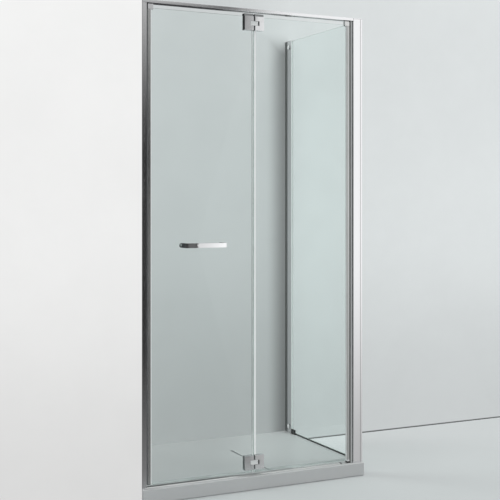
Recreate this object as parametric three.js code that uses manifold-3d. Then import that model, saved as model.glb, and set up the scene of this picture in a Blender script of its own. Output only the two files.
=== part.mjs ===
// A shower enclosure on a low tray: a folding door of two glass panels and one fixed side glass.
// Millimetres, +X to the right along the front, +Y inwards, +Z up. The origin is the centre of the
// tray's underside. Inside the enclosure group, x runs from the left wall, y from the tray's front
// edge and z from the tray's rim, so most places below are read off as a fitter would measure them.

import * as THREE from "three";
import { mergeVertices } from "three/addons/utils/BufferGeometryUtils.js";
import Module from "manifold-3d";

const wasm = await Module();
wasm.setup();

// General clearances
const seat = 0.3; // between pieces that touch
const overrun = 2; // how far a cut runs past the face it opens, or a joined piece into its neighbour

// Tray
const trayWidth = 1000;
const trayDepth = 700;
const trayHeight = 55;
const trayCornerRadius = 7;
const sideRimWidth = 82;
const frontRimWidth = 62;
const recessDepth = 6; // the step down from the left rim
const recessFall = 5; // how much lower the floor is at the drain slot
const recessWallRun = 5; // how far the wall of that step slopes inwards

// Slot drain
const slotFromLeft = 597;
const slotFromFront = 88;
const slotLength = 404;
const slotWidth = 9;
const slotDepth = 16;
const insertWidth = 6;
const insertHeight = 5;
const insertEndGap = 2;
const insertFootLength = 20;
const outletBore = 20;
const outletWall = 3.5;
const outletRoof = 3.5; // what is left of the tray between the outlet's socket and the slot
const outletThroatRadius = 17;
const outletSetback = 0.5; // the outlet ring's end above the tray's underside

// Frame
const frameHeight = 1900;
const frameSetback = 16;
const frameDepth = 36;
const profileWall = 2;
const jambWall = 1.8;

// Left wall profile and jamb
const wallProfileReach = 11;
const jambReach = 8; // how far the jamb stands out of the wall profile
const jambInsertion = 7; // how far the jamb reaches into it
const wallHoleRadius = 3;
const wallHoleShares = [0.08, 0.48, 0.88]; // of the frame's height

// Top rail
const railHeight = 11.5;
const railSlotWidth = 12;
const railPlugLength = 12;

// Corner post and right jamb
const postWidth = 46;
const postDepth = 46;
const postRadius = 4;
const postEdgeRadius = 1.5;
const postGrooveWidth = 1.6;
const postGrooveDepth = 0.9;
const postGrooveInset = 10; // the groove in the front face to the post's right side
const postCapHeight = 2.7;
const rightJambWidth = 8.1;
const rightJambSetback = 10.5; // behind the frame's front face
const jambSealWidth = 3.1;
const jambSealDepth = 3;

// Door panels
const glassThickness = 6;
const glassTopGap = 17.5;
const glassBottomGap = 10;
const foldGlassGap = 8;
const edgeWidth = 12;
const edgeDepth = 15;
const edgeWeb = 2.5;
const edgeBottom = 14.3;
const edgeSlotGap = 0.4; // between the glass face and the profile that grips it
const swingClearance = 0.6; // between what turns on a panel's axis and what stands round it
const jambMagnetThickness = 3.3;
const jambMagnetWidth = 12;
const doorMagnetThickness = 2.8;
const doorMagnetWidth = 10;
const magnetClearance = 1.1;
const notchClearance = 0.8;

// Brackets at the panels' top corners, and the pins that they turn on
const bracketWidth = 22.5;
const bracketHeight = 20.5;
const bracketRailGap = 2;
const bracketBoreFloor = 1.4; // left under the bore, above the glass
const pinRadius = 4;
const pinClearance = 0.3;
const pinEndGap = 0.3;
const sliderLength = 30;
const sliderWidth = 24;
const sliderTopGap = 1.7; // between the slider and the top of the rail
const pivotBlockLength = 28;

// Lower pivot
const footWidth = 13;
const footDepth = 20;
const footHeight = 6;
const plugRoof = 1; // left over the bore in the bottom plug
const footPinEndGap = 0.5;
const bottomCapHeight = 3;

// Fold hinges
const leafWidth = 40;
const leafHeight = 57;
const leafThickness = 13.7;
const leafGap = 7; // between the two leaves
const lowerLeafBottom = 24;
const pinInset = 11; // hinge pin to the leaf's fold edge
const pinDepthShare = 0.6; // of the leaf's thickness, from the glass to the hinge pin
const hingePinRadius = 2.5;
const hingePinClearance = 0.3;
const hingePinRecess = 0.5;
const hingeBoreRoof = 2; // left over the blind end of the pin's bore
const linkHeight = 18;
const linkEndRadius = 4;
const linkClearance = 0.4;
const pocketFloorGap = 0.7; // behind the link
const pivotPocketRelief = 4; // past the link's end: the slot that shows on the right leaf
const leadingPocketRelief = 0.8;
const hookHeight = 10; // the part of the upper leaf that hooks over the glass
const hookDepth = 12; // its outer face to the middle of the glass
const plateThickness = 5;
const bossRadius = 6;
const bossClearance = 0.6;
const bossSpacing = 34;

// Handle
const handleLength = 177;
const handleOffset = 3.5; // from the panel's middle, towards the fold
const handleProjection = 45;
const handleBarHeight = 18.5;
const handleBarThickness = 8;
const handleOuterRadius = 4;
const handleInnerRadius = 3;
const handleAxisHeight = 942;
const studRadius = 3;
const studClearance = 0.3;
const studPlay = 2; // round the stud in the glass
const washerThickness = 1;
const washerRadius = 5.5;
const backCapRadius = 10;
const backCapHeight = 6;
const backCapFloor = 1.5;

// Seals of the door
const sealWall = 1.1;
const foldSealGrip = 8.6;
const foldFinThickness = 0.6;
const foldSealClearance = 0.5; // the fin to the other glass
const foldSealEndGap = 1;
const dripSealGrip = 8;
const dripFinWidth = 1.6;
const dripFinHeight = 1;
const dripFinGap = 1.7; // between the fin and the threshold
const thresholdWidth = 24;
const thresholdTopWidth = 16;
const thresholdTop = 3.5; // above the tray's rim
const thresholdEndGap = 28; // to the lower pivot foot
const thresholdPlugLength = 6;
const thresholdPlugRise = 0.8; // how much higher the plug is than the strip

// Side panel
const sideProfileWidth = 17;
const sideWall = 1.5;
const sideFrontReach = 20;
const sleeveReach = 37;
const sleeveInset = 29; // the sleeve's rear edge to the tray's back edge
const sideGlassInsertion = 12; // how far the glass reaches into each channel
const gasketWeb = 1.5;
const gasketRecess = 1;
const sideProfileTopGap = 7.1; // below the top of the frame
const sideGlassBottomGap = 6;
const sideCapHeight = 2;
const sideSealWidth = 9;
const sealBlockLength = 36;
const sealBlockWidth = 6.5;
const sealBlockHeight = 22;

// Screws
const screwHeadRadius = 4;
const screwHeadHeight = 2.5;
const screwShankRadius = 2;
const screwClearance = 0.3;
const screwTip = 0.5; // how far a screw's point passes the wall that it holds
const jambScrewFromEnd = 150;
const screwCapRadius = 11;
const screwCapHeight = 5;
const screwCapFromEnd = 30;
const screwCapFromEdge = 14; // to the sleeve's rear edge

// Counts of flats on round pieces
const pinFlats = 24;
const holeFlats = 24;
const bossFlats = 20;
const headFlats = 28;
const arcSteps = 6;

// Places that follow from the sizes above
const glassHalf = glassThickness / 2;
const glassPlane = frameSetback + frameDepth / 2;
const frameBack = frameSetback + frameDepth;
const railBottom = frameHeight - railHeight;
const profileTop = railBottom - seat;
const glassTop = railBottom - glassTopGap;
const jambFace = wallProfileReach + jambReach;
const closingGap = seat + jambMagnetThickness + magnetClearance + doorMagnetThickness + seat;
const guideAxis = jambFace + closingGap + edgeWidth / 2;
const postFace = trayWidth - postWidth;
const postBack = frameSetback + postDepth;
const rightJambStart = postFace - seat - rightJambWidth;
const edgeSwing = Math.hypot(edgeWidth / 2, edgeDepth / 2); // the edge profile's corner to its axis
const pivotAxis = rightJambStart - swingClearance - edgeSwing;
const foldReach = (pivotAxis - guideAxis) / 2; // each panel's axis to the fold line
const glassEdge = edgeWidth / 2 - edgeWeb - seat; // the glass's outer edge beyond its axis
const glassFoldEdge = foldReach - foldGlassGap / 2;
const notchReach = edgeWidth / 2 + notchClearance;
const footSwing = Math.hypot(footWidth / 2, footDepth / 2); // the foot's corner to the pivot axis
const bracketTop = railBottom - bracketRailGap;
const bracketBottom = bracketTop - bracketHeight;
const bracketBoreBottom = glassTop + seat + bracketBoreFloor;
const edgeTop = bracketBottom - seat;
const slideBottom = railBottom + profileWall + seat;
const slideTop = frameHeight - profileWall - sliderTopGap;
const leafNear = foldReach - leafGap / 2; // the leaf's fold edge
const leafFar = leafNear - leafWidth;
const leafMiddle = leafNear - leafWidth / 2;
const leafBack = glassHalf + seat;
const leafFront = leafBack + leafThickness;
const upperLeafBottom = glassTop - leafHeight;
const hingePinReach = leafNear - pinInset;
const hingePinPlane = leafBack + leafThickness * pinDepthShare;
const pocketFloor = hingePinPlane - linkEndRadius - pocketFloorGap;
const sidePlane = trayWidth - sideProfileWidth / 2;
const sideLow = sidePlane - sideProfileWidth / 2;
const sideFrontMouth = postBack + seat + sideFrontReach;
const sideGlassFront = sideFrontMouth - sideGlassInsertion;
const sleeveBack = trayDepth - sleeveInset;
const sleeveMouth = sleeveBack - sleeveReach;
const sideGlassBack = sleeveMouth + sideGlassInsertion;
const sleeveWeb = sideGlassBack + seat + gasketWeb + seat;
const sideProfileTop = frameHeight - sideProfileTopGap;
const sideGlassTop = sideProfileTop - seat;
const floorHigh = trayHeight - recessDepth;
const floorLow = floorHigh - recessFall;
const slotBottom = floorLow - slotDepth;
const screwHoleRadius = screwShankRadius + screwClearance;
const thresholdEnd = pivotAxis - footWidth / 2 - thresholdEndGap;

// Finishes, as colour, roughness and metalness
const finishes = {
  polished: { color: 0xc9cccd, roughness: 0.16, metalness: 1 },
  chrome: { color: 0xd9dcde, roughness: 0.07, metalness: 1 },
  steel: { color: 0xb4b7b8, roughness: 0.3, metalness: 1 },
  glass: { color: 0xdbe8e4, roughness: 0.02, metalness: 0, transparent: true, opacity: 0.3 },
  clearSeal: { color: 0xe2ebe9, roughness: 0.35, metalness: 0, transparent: true, opacity: 0.75 },
  greySeal: { color: 0x8d9695, roughness: 0.6, metalness: 0 },
  black: { color: 0x1d1f20, roughness: 0.5, metalness: 0 },
  tray: { color: 0xe4e7e6, roughness: 0.45, metalness: 0 },
};

// Shapes

// A closed outline from a list of [x, y] corners; a corner with a third value is rounded by it.
function outline(corners) {
  const shape = new THREE.Shape();
  const count = corners.length;
  corners.forEach(([x, y, radius = 0], i) => {
    const before = corners[(i + count - 1) % count];
    const after = corners[(i + 1) % count];
    const here = new THREE.Vector2(x, y);
    const toBefore = new THREE.Vector2(before[0], before[1]).sub(here).normalize();
    const toAfter = new THREE.Vector2(after[0], after[1]).sub(here).normalize();
    const start = here.clone().addScaledVector(toBefore, radius);
    const end = here.clone().addScaledVector(toAfter, radius);
    if (i === 0) shape.moveTo(start.x, start.y);
    else shape.lineTo(start.x, start.y);
    if (radius > 0) shape.quadraticCurveTo(x, y, end.x, end.y);
  });
  shape.closePath();
  return shape;
}

// An outline and its holes, drawn out over a length along +Z.
function extruded(corners, length, holes = []) {
  const shape = outline(corners);
  shape.holes = holes.map((hole) => outline(hole));
  const options = { depth: length, bevelEnabled: false, curveSegments: arcSteps };
  return new THREE.ExtrudeGeometry(shape, options);
}

// A standing prism: corners are [x, y].
function prismZ(corners, bottom, top, holes = []) {
  return extruded(corners, top - bottom, holes).translate(0, 0, bottom);
}

// A prism lying along X: corners are [y, z].
function prismX(corners, start, end) {
  const lay = new THREE.Matrix4().makeBasis(
    new THREE.Vector3(0, 1, 0),
    new THREE.Vector3(0, 0, 1),
    new THREE.Vector3(1, 0, 0),
  );
  return extruded(corners, end - start).applyMatrix4(lay).translate(start, 0, 0);
}

// A prism lying along Y: corners are [x, z].
function prismY(corners, start, end) {
  const lay = new THREE.Matrix4().makeBasis(
    new THREE.Vector3(0, 0, 1),
    new THREE.Vector3(1, 0, 0),
    new THREE.Vector3(0, 1, 0),
  );
  const turned = corners.map(([x, z, radius = 0]) => [z, x, radius]);
  return extruded(turned, end - start).applyMatrix4(lay).translate(0, start, 0);
}

// A box between two corners, given in any order.
function box(x1, x2, y1, y2, z1, z2) {
  return new THREE.BoxGeometry(Math.abs(x2 - x1), Math.abs(y2 - y1), Math.abs(z2 - z1)).translate(
    (x1 + x2) / 2,
    (y1 + y2) / 2,
    (z1 + z2) / 2,
  );
}

// A standing round bar.
function rodZ(radius, x, y, bottom, top, flats) {
  return new THREE.CylinderGeometry(radius, radius, top - bottom, flats)
    .rotateX(Math.PI / 2)
    .translate(x, y, (bottom + top) / 2);
}

// A round bar along Y.
function rodY(radius, x, z, start, end, flats) {
  return new THREE.CylinderGeometry(radius, radius, end - start, flats).translate(
    x,
    (start + end) / 2,
    z,
  );
}

// A round bar along X.
function rodX(radius, y, z, start, end, flats) {
  return new THREE.CylinderGeometry(radius, radius, end - start, flats)
    .rotateZ(Math.PI / 2)
    .translate((start + end) / 2, y, z);
}

// Joins and cuts

function solidOf(geometry) {
  const bare = geometry.clone();
  bare.deleteAttribute("normal");
  bare.deleteAttribute("uv");
  const merged = mergeVertices(bare);
  const mesh = new wasm.Mesh({
    numProp: 3,
    vertProperties: merged.attributes.position.array,
    triVerts: new Uint32Array(merged.index.array),
  });
  return new wasm.Manifold(mesh);
}

function geometryOf(solid) {
  const mesh = solid.getMesh();
  const geometry = new THREE.BufferGeometry();
  geometry.setAttribute("position", new THREE.BufferAttribute(mesh.vertProperties, 3));
  geometry.setIndex(new THREE.BufferAttribute(mesh.triVerts, 1));
  return geometry;
}

function cut(geometry, ...tools) {
  return geometryOf(tools.reduce((rest, tool) => rest.subtract(solidOf(tool)), solidOf(geometry)));
}

function join(geometry, ...others) {
  return geometryOf(others.reduce((sum, other) => sum.add(solidOf(other)), solidOf(geometry)));
}

function overlapOf(geometry, other) {
  return geometryOf(solidOf(geometry).intersect(solidOf(other)));
}

// A named piece in a group
function piece(group, name, finish, geometry) {
  const faceted = geometry.index ? geometry.toNonIndexed() : geometry;
  faceted.computeVertexNormals();
  const mesh = new THREE.Mesh(faceted, new THREE.MeshStandardMaterial(finishes[finish]));
  mesh.name = name;
  group.add(mesh);
}

// Four corners of a rectangle
function rectangle(x1, x2, y1, y2, radius = 0) {
  return [
    [x1, y1, radius],
    [x2, y1, radius],
    [x2, y2, radius],
    [x1, y2, radius],
  ];
}

// A channel section, open towards its mouth: walls of one thickness around a web at its base.
function channel(base, mouth, low, high, wall) {
  const inner = base + Math.sign(mouth - base) * wall;
  return [
    [base, low],
    [mouth, low],
    [mouth, low + wall],
    [inner, low + wall],
    [inner, high - wall],
    [mouth, high - wall],
    [mouth, high],
    [base, high],
  ];
}

const swapped = (corners) => corners.map(([x, y]) => [y, x]);

// Tray: a slab with a shallow recess. Its floor falls to the slot drain from the other three rims, and
// from a low step at the left one. The tray's own z is 0 underneath.
function buildTray(group) {
  const slab = prismZ(rectangle(0, trayWidth, 0, trayDepth, trayCornerRadius), 0, trayHeight);
  const left = sideRimWidth;
  const right = trayWidth - sideRimWidth;
  const front = frontRimWidth;
  const back = trayDepth - frontRimWidth;
  const slotEnd = slotFromFront + slotLength;
  const above = trayHeight + overrun;
  const fallAcross = prismY(
    [
      [left, above],
      [left, trayHeight],
      [left + recessWallRun, floorHigh],
      [slotFromLeft, floorLow],
      [right, trayHeight],
      [right, above],
    ],
    front,
    back,
  );
  const fallAlong = prismX(
    [
      [front, above],
      [front, trayHeight],
      [slotFromFront, floorLow],
      [slotEnd, floorLow],
      [back, trayHeight],
      [back, above],
    ],
    left,
    right,
  );
  const slot = box(
    slotFromLeft - slotWidth / 2,
    slotFromLeft + slotWidth / 2,
    slotFromFront,
    slotEnd,
    slotBottom,
    trayHeight,
  );
  const outletY = slotFromFront + slotLength / 2;
  const outletRadius = outletBore + outletWall;
  const socketTop = slotBottom - outletRoof;
  const outletTop = socketTop - seat;
  const socket = rodZ(outletRadius + seat, slotFromLeft, outletY, -overrun, socketTop, holeFlats);
  const throatTop = slotBottom + overrun;
  const throat = rodZ(outletThroatRadius, slotFromLeft, outletY, 0, throatTop, holeFlats);
  const recess = overlapOf(fallAcross, fallAlong);
  piece(group, "shower_tray", "tray", cut(slab, recess, slot, socket, throat));

  const ring = rodZ(outletRadius, slotFromLeft, outletY, outletSetback, outletTop, holeFlats);
  const bore = rodZ(
    outletBore,
    slotFromLeft,
    outletY,
    outletSetback - overrun,
    outletTop + overrun,
    holeFlats,
  );
  piece(group, "drain_outlet", "black", cut(ring, bore));

  const insertStart = slotFromFront + insertEndGap;
  const insertEnd = slotEnd - insertEndGap;
  const half = insertWidth / 2;
  const insertTop = floorLow;
  const feet = [insertStart, insertEnd - insertFootLength].map((start) =>
    box(
      slotFromLeft - half,
      slotFromLeft + half,
      start,
      start + insertFootLength,
      slotBottom + seat,
      insertTop - insertHeight / 2,
    ),
  );
  const bar = box(
    slotFromLeft - half,
    slotFromLeft + half,
    insertStart,
    insertEnd,
    insertTop - insertHeight,
    insertTop,
  );
  piece(group, "drain_insert", "steel", join(bar, ...feet));
}

// Left wall profile, the jamb that slides in it and the jamb's magnet strip
function buildLeftJamb(group) {
  const wallHoles = wallHoleShares.map((share) =>
    rodX(wallHoleRadius, glassPlane, frameHeight * share, -overrun, profileWall + overrun, holeFlats),
  );
  const screwX = wallProfileReach - jambInsertion / 2;
  const screwPlaces = { lower: jambScrewFromEnd, upper: profileTop - jambScrewFromEnd };
  const jambFront = frameSetback + profileWall + seat;
  const jambBack = frameBack - profileWall - seat;
  const jambStart = wallProfileReach - jambInsertion;
  const screwHoles = Object.values(screwPlaces).map((z) =>
    rodY(screwHoleRadius, screwX, z, jambBack - jambWall - overrun, frameBack + overrun, holeFlats),
  );
  const wallProfile = prismZ(
    channel(0, wallProfileReach, frameSetback, frameBack, profileWall),
    seat,
    profileTop,
  );
  piece(group, "left_wall_profile", "polished", cut(wallProfile, ...wallHoles, ...screwHoles));

  const jamb = prismZ(rectangle(jambStart, jambFace, jambFront, jambBack), seat, profileTop, [
    rectangle(jambStart + jambWall, jambFace - jambWall, jambFront + jambWall, jambBack - jambWall),
  ]);
  piece(group, "left_jamb_profile", "polished", cut(jamb, ...screwHoles));

  const magnet = box(
    jambFace + seat,
    jambFace + seat + jambMagnetThickness,
    glassPlane - jambMagnetWidth / 2,
    glassPlane + jambMagnetWidth / 2,
    thresholdTop + seat,
    profileTop,
  );
  piece(group, "left_magnet_strip", "greySeal", magnet);

  Object.entries(screwPlaces).forEach(([level, z]) => {
    const headStart = frameBack + seat;
    const headEnd = headStart + screwHeadHeight;
    const tip = jambBack - jambWall - screwTip;
    const head = rodY(screwHeadRadius, screwX, z, headStart, headEnd, headFlats);
    const shank = rodY(screwShankRadius, screwX, z, tip, headStart + screwHeadHeight / 2, holeFlats);
    piece(group, `jamb_screw_${level}`, "steel", join(head, shank));
  });
}

// Top rail: a channel that is open below along the middle, with a plug in its left end
function buildTopRail(group) {
  const front = frameSetback;
  const back = frameBack;
  const slotFront = glassPlane - railSlotWidth / 2;
  const slotBack = glassPlane + railSlotWidth / 2;
  const rail = prismX(
    [
      [front, railBottom],
      [slotFront, railBottom],
      [slotFront, railBottom + profileWall],
      [front + profileWall, railBottom + profileWall],
      [front + profileWall, frameHeight - profileWall],
      [back - profileWall, frameHeight - profileWall],
      [back - profileWall, railBottom + profileWall],
      [slotBack, railBottom + profileWall],
      [slotBack, railBottom],
      [back, railBottom],
      [back, frameHeight],
      [front, frameHeight],
    ],
    0,
    postFace - seat,
  );
  piece(group, "top_rail", "polished", rail);
  const inset = profileWall + seat;
  const plug = box(
    seat,
    railPlugLength,
    front + inset,
    back - inset,
    railBottom + inset,
    frameHeight - inset,
  );
  piece(group, "rail_end_plug", "black", plug);
}

// Corner post with its cap, and the right jamb beside it
function buildCorner(group) {
  const grooveEnd = trayWidth - postGrooveInset;
  const grooveStart = grooveEnd - postGrooveWidth;
  const grooveFloor = frameSetback + postGrooveDepth;
  const rounded = [
    [trayWidth, frameSetback, postRadius],
    [trayWidth, postBack, postEdgeRadius],
    [postFace, postBack, postEdgeRadius],
    [postFace, frameSetback, postEdgeRadius],
  ];
  const groove = [
    [grooveStart, frameSetback],
    [grooveStart, grooveFloor],
    [grooveEnd, grooveFloor],
    [grooveEnd, frameSetback],
  ];
  const hollow = [
    [postFace + profileWall, frameSetback + profileWall],
    [trayWidth - profileWall, frameSetback + profileWall, postRadius - profileWall],
    [trayWidth - profileWall, postBack - profileWall],
    [postFace + profileWall, postBack - profileWall],
  ];
  const capBottom = frameHeight - postCapHeight;
  const post = prismZ([...groove, ...rounded], seat, capBottom - seat, [hollow]);
  piece(group, "corner_post", "polished", post);
  piece(group, "post_top_cap", "polished", prismZ(rounded, capBottom, frameHeight));

  const jambEnd = rightJambStart + rightJambWidth;
  const jambFront = frameSetback + rightJambSetback;
  const jamb = prismZ(rectangle(rightJambStart, jambEnd, jambFront, frameBack), seat, profileTop, [
    rectangle(
      rightJambStart + jambWall,
      jambEnd - jambWall,
      jambFront + jambWall,
      frameBack - jambWall,
    ),
  ]);
  piece(group, "right_jamb_profile", "polished", jamb);
  const sealStart = glassPlane + edgeSwing + swingClearance;
  const seal = box(
    rightJambStart - seat - jambSealWidth,
    rightJambStart - seat,
    sealStart,
    sealStart + jambSealDepth,
    seat,
    profileTop,
  );
  piece(group, "right_jamb_seal", "greySeal", seal);
}

// Threshold strip under the door, with a plug at its right end
function buildThreshold(group) {
  const half = thresholdWidth / 2;
  const top = thresholdTopWidth / 2;
  const section = (height) => [
    [glassPlane - half, seat],
    [glassPlane + half, seat],
    [glassPlane + top, height],
    [glassPlane - top, height],
  ];
  const stripEnd = thresholdEnd - thresholdPlugLength - seat;
  const strip = prismX(section(thresholdTop), jambFace + seat, stripEnd);
  piece(group, "threshold_strip", "polished", strip);
  const plugHeight = thresholdTop + thresholdPlugRise;
  const plug = prismX(section(plugHeight), thresholdEnd - thresholdPlugLength, thresholdEnd);
  piece(group, "threshold_end_plug", "black", plug);
}

// The fixed ends of the pivot axis: a stud in the rail above and a foot on the tray below
function buildPivots(group) {
  const block = box(
    pivotAxis - pivotBlockLength / 2,
    pivotAxis + pivotBlockLength / 2,
    glassPlane - sliderWidth / 2,
    glassPlane + sliderWidth / 2,
    slideBottom,
    slideTop,
  );
  const pinBottom = bracketBoreBottom + pinEndGap;
  const pin = rodZ(pinRadius, pivotAxis, glassPlane, pinBottom, slideBottom + overrun, pinFlats);
  piece(group, "upper_pivot_stud", "steel", join(block, pin));

  const base = box(
    pivotAxis - footWidth / 2,
    pivotAxis + footWidth / 2,
    glassPlane - footDepth / 2,
    glassPlane + footDepth / 2,
    seat,
    footHeight,
  );
  const postTop = edgeBottom - seat - plugRoof - footPinEndGap;
  const post = rodZ(pinRadius, pivotAxis, glassPlane, footHeight - overrun, postTop, pinFlats);
  piece(group, "lower_pivot_foot", "black", join(base, post));
}

// A gasket that lines a side channel round the glass's edge, from near the mouth to its web.
function gasketSection(mouth, glassEnd) {
  const outer = sideProfileWidth / 2 - sideWall - seat;
  const inner = glassHalf + seat;
  const inward = Math.sign(glassEnd - mouth);
  const start = mouth + inward * gasketRecess;
  const web = glassEnd + inward * seat;
  const deep = web + inward * gasketWeb;
  return [
    [sidePlane - outer, start],
    [sidePlane - inner, start],
    [sidePlane - inner, web],
    [sidePlane + inner, web],
    [sidePlane + inner, start],
    [sidePlane + outer, start],
    [sidePlane + outer, deep],
    [sidePlane - outer, deep],
  ];
}

// The side glass, and at its front edge the channel on the corner post
function buildSideGlass(group) {
  const sideHigh = sidePlane + sideProfileWidth / 2;
  const section = channel(postBack + seat, sideFrontMouth, sideLow, sideHigh, sideWall);
  piece(group, "side_front_profile", "polished", prismZ(swapped(section), seat, sideProfileTop));
  const lining = gasketSection(sideFrontMouth, sideGlassFront);
  const gasket = prismZ(lining, sideGlassBottomGap, sideGlassTop);
  piece(group, "side_front_gasket", "clearSeal", gasket);
  const sheet = box(
    sidePlane - glassHalf,
    sidePlane + glassHalf,
    sideGlassFront,
    sideGlassBack,
    sideGlassBottomGap,
    sideGlassTop,
  );
  piece(group, "side_glass", "glass", sheet);
}

// The wall profile at the back, and the sleeve that slides over it and grips the glass
function buildSideWallJoint(group) {
  const sideHigh = sidePlane + sideProfileWidth / 2;
  const screwPlaces = { lower: screwCapFromEnd, upper: sideProfileTop - screwCapFromEnd };
  const screwY = sleeveBack - screwCapFromEdge;
  const wallLow = sideLow + sideWall + seat;
  const wallHigh = sideHigh - sideWall - seat;
  const screwHoles = Object.values(screwPlaces).map((z) =>
    rodX(screwHoleRadius, screwY, z, sideLow - overrun, wallLow + sideWall + overrun, holeFlats),
  );
  const sleeve = [
    [sideLow, sleeveMouth],
    [sideLow + sideWall, sleeveMouth],
    [sideLow + sideWall, sleeveWeb],
    [sideHigh - sideWall, sleeveWeb],
    [sideHigh - sideWall, sleeveMouth],
    [sideHigh, sleeveMouth],
    [sideHigh, sleeveBack],
    [sideHigh - sideWall, sleeveBack],
    [sideHigh - sideWall, sleeveWeb + sideWall],
    [sideLow + sideWall, sleeveWeb + sideWall],
    [sideLow + sideWall, sleeveBack],
    [sideLow, sleeveBack],
  ];
  const sleeveSolid = cut(prismZ(sleeve, seat, sideProfileTop), ...screwHoles);
  piece(group, "side_sleeve_profile", "polished", sleeveSolid);
  const lining = gasketSection(sleeveMouth, sideGlassBack);
  const gasket = prismZ(lining, sideGlassBottomGap, sideGlassTop);
  piece(group, "side_back_gasket", "clearSeal", gasket);

  const wallMouth = sleeveWeb + sideWall + seat;
  const section = channel(trayDepth, wallMouth, wallLow, wallHigh, sideWall);
  const wallHoles = wallHoleShares.map((share) =>
    rodY(
      wallHoleRadius,
      sidePlane,
      frameHeight * share,
      trayDepth - sideWall - overrun,
      trayDepth + overrun,
      holeFlats,
    ),
  );
  const wallProfile = prismZ(swapped(section), seat, sideProfileTop);
  piece(group, "side_wall_profile", "polished", cut(wallProfile, ...wallHoles, ...screwHoles));

  const capBottom = sideProfileTop + seat;
  const cap = box(sideLow, sideHigh, sleeveMouth, trayDepth, capBottom, capBottom + sideCapHeight);
  piece(group, "side_top_cap", "polished", cap);

  Object.entries(screwPlaces).forEach(([level, z]) => {
    const headEnd = sideLow - seat;
    const headStart = headEnd - screwCapHeight;
    const tip = wallLow + sideWall + screwTip;
    const head = rodX(screwCapRadius, screwY, z, headStart, headEnd, headFlats);
    const shank = rodX(screwShankRadius, screwY, z, headEnd - screwCapHeight / 2, tip, holeFlats);
    piece(group, `side_screw_${level}`, "chrome", join(head, shank));
  });
}

// The strip under the side glass, with a block at its back end that stands up inside the glass
function buildSideBottomSeal(group) {
  const half = sideSealWidth / 2;
  const end = sleeveMouth - seat;
  const strip = box(
    sidePlane - half,
    sidePlane + half,
    sideFrontMouth + seat,
    end,
    seat,
    sideGlassBottomGap - seat,
  );
  const blockFace = sidePlane - glassHalf - seat;
  const block = box(
    blockFace - sealBlockWidth,
    blockFace,
    end - sealBlockLength,
    end,
    seat,
    sealBlockHeight,
  );
  piece(group, "side_bottom_seal", "black", join(strip, block));
}

// Door panels. In a panel's group, z is as in the frame, x is 0 on the panel's turning axis, and y
// is 0 in the middle of its glass. The value "way" is the side on which the fold lies: -1 or 1.

// A panel's glass, with a notch at its lower outer corner and holes for hinges and handle
function panelGlass(way, holes) {
  const sheet = box(
    -way * glassEdge,
    way * glassFoldEdge,
    -glassHalf,
    glassHalf,
    glassBottomGap,
    glassTop,
  );
  const notch = box(
    -way * (glassEdge + overrun),
    way * notchReach,
    -glassHalf - overrun,
    glassHalf + overrun,
    glassBottomGap - overrun,
    edgeBottom + notchClearance,
  );
  return cut(sheet, notch, ...holes);
}

// The upright profile that grips a panel's outer edge
function edgeProfile(way) {
  const outer = -way * (edgeWidth / 2);
  const inner = way * (edgeWidth / 2);
  const web = -way * (edgeWidth / 2 - edgeWeb);
  const half = edgeDepth / 2;
  const grip = glassHalf + edgeSlotGap;
  const corners = [
    [outer, -half],
    [inner, -half],
    [inner, -grip],
    [web, -grip],
    [web, grip],
    [inner, grip],
    [inner, half],
    [outer, half],
  ];
  return prismZ(corners, edgeBottom, edgeTop);
}

// The block that grips a panel's top corner and takes its pin
function cornerBracket(way) {
  const outer = -way * (edgeWidth / 2);
  const inner = outer + way * bracketWidth;
  const half = edgeDepth / 2;
  const grip = glassHalf + edgeSlotGap;
  const block = box(outer, inner, -half, half, bracketBottom, bracketTop);
  const glassSlot = box(
    -way * (glassEdge + seat),
    inner + way * overrun,
    -grip,
    grip,
    bracketBottom - overrun,
    glassTop + seat,
  );
  const boreRadius = pinRadius + pinClearance;
  const bore = rodZ(boreRadius, 0, 0, bracketBoreBottom, bracketTop + overrun, pinFlats);
  return cut(block, glassSlot, bore);
}

// Centres of a leaf's bosses, from its bottom edge
function bossPlaces(leafBottom) {
  const middle = leafBottom + leafHeight / 2;
  return [middle - bossSpacing / 2, middle + bossSpacing / 2];
}

// A round hole through a panel's glass
function glassHole(radius, x, z, flats) {
  return rodY(radius, x, z, -glassHalf - overrun, glassHalf + overrun, flats);
}

function bossHoles(way, leafBottom) {
  return bossPlaces(leafBottom).map((z) =>
    glassHole(bossRadius + bossClearance, way * leafMiddle, z, bossFlats),
  );
}

// The outer block of a fold hinge: a leaf with an open pocket for the link and a bore for the pin
function hingeBlock(way, leafBottom, relief, hooked) {
  const top = leafBottom + leafHeight;
  const near = way * leafNear;
  const far = way * leafFar;
  const middle = leafBottom + leafHeight / 2;
  const leaf = box(far, near, -leafFront, -leafBack, leafBottom, top);
  const bosses = bossPlaces(leafBottom).map((z) =>
    rodY(bossRadius, way * leafMiddle, z, -leafBack - overrun, glassHalf, bossFlats),
  );
  const additions = hooked
    ? [
        box(far, near, -hookDepth, -leafBack, top - overrun, top + hookHeight),
        box(far, near, -leafBack - seat, leafBack + plateThickness, top + seat, top + hookHeight),
      ]
    : [];
  const pocketEnd = way * (hingePinReach - linkEndRadius - relief);
  const halfOpening = linkHeight / 2 + linkClearance;
  const pocket = box(
    pocketEnd,
    near + way * overrun,
    -leafFront - overrun,
    -pocketFloor,
    middle - halfOpening,
    middle + halfOpening,
  );
  const bore = rodZ(
    hingePinRadius + hingePinClearance,
    way * hingePinReach,
    -hingePinPlane,
    leafBottom - overrun,
    top - hingeBoreRoof,
    pinFlats,
  );
  return cut(join(leaf, ...bosses, ...additions), pocket, bore);
}

function hingePin(way, leafBottom) {
  const top = leafBottom + leafHeight - hingeBoreRoof - seat;
  const bottom = leafBottom + hingePinRecess;
  return rodZ(hingePinRadius, way * hingePinReach, -hingePinPlane, bottom, top, pinFlats);
}

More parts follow.
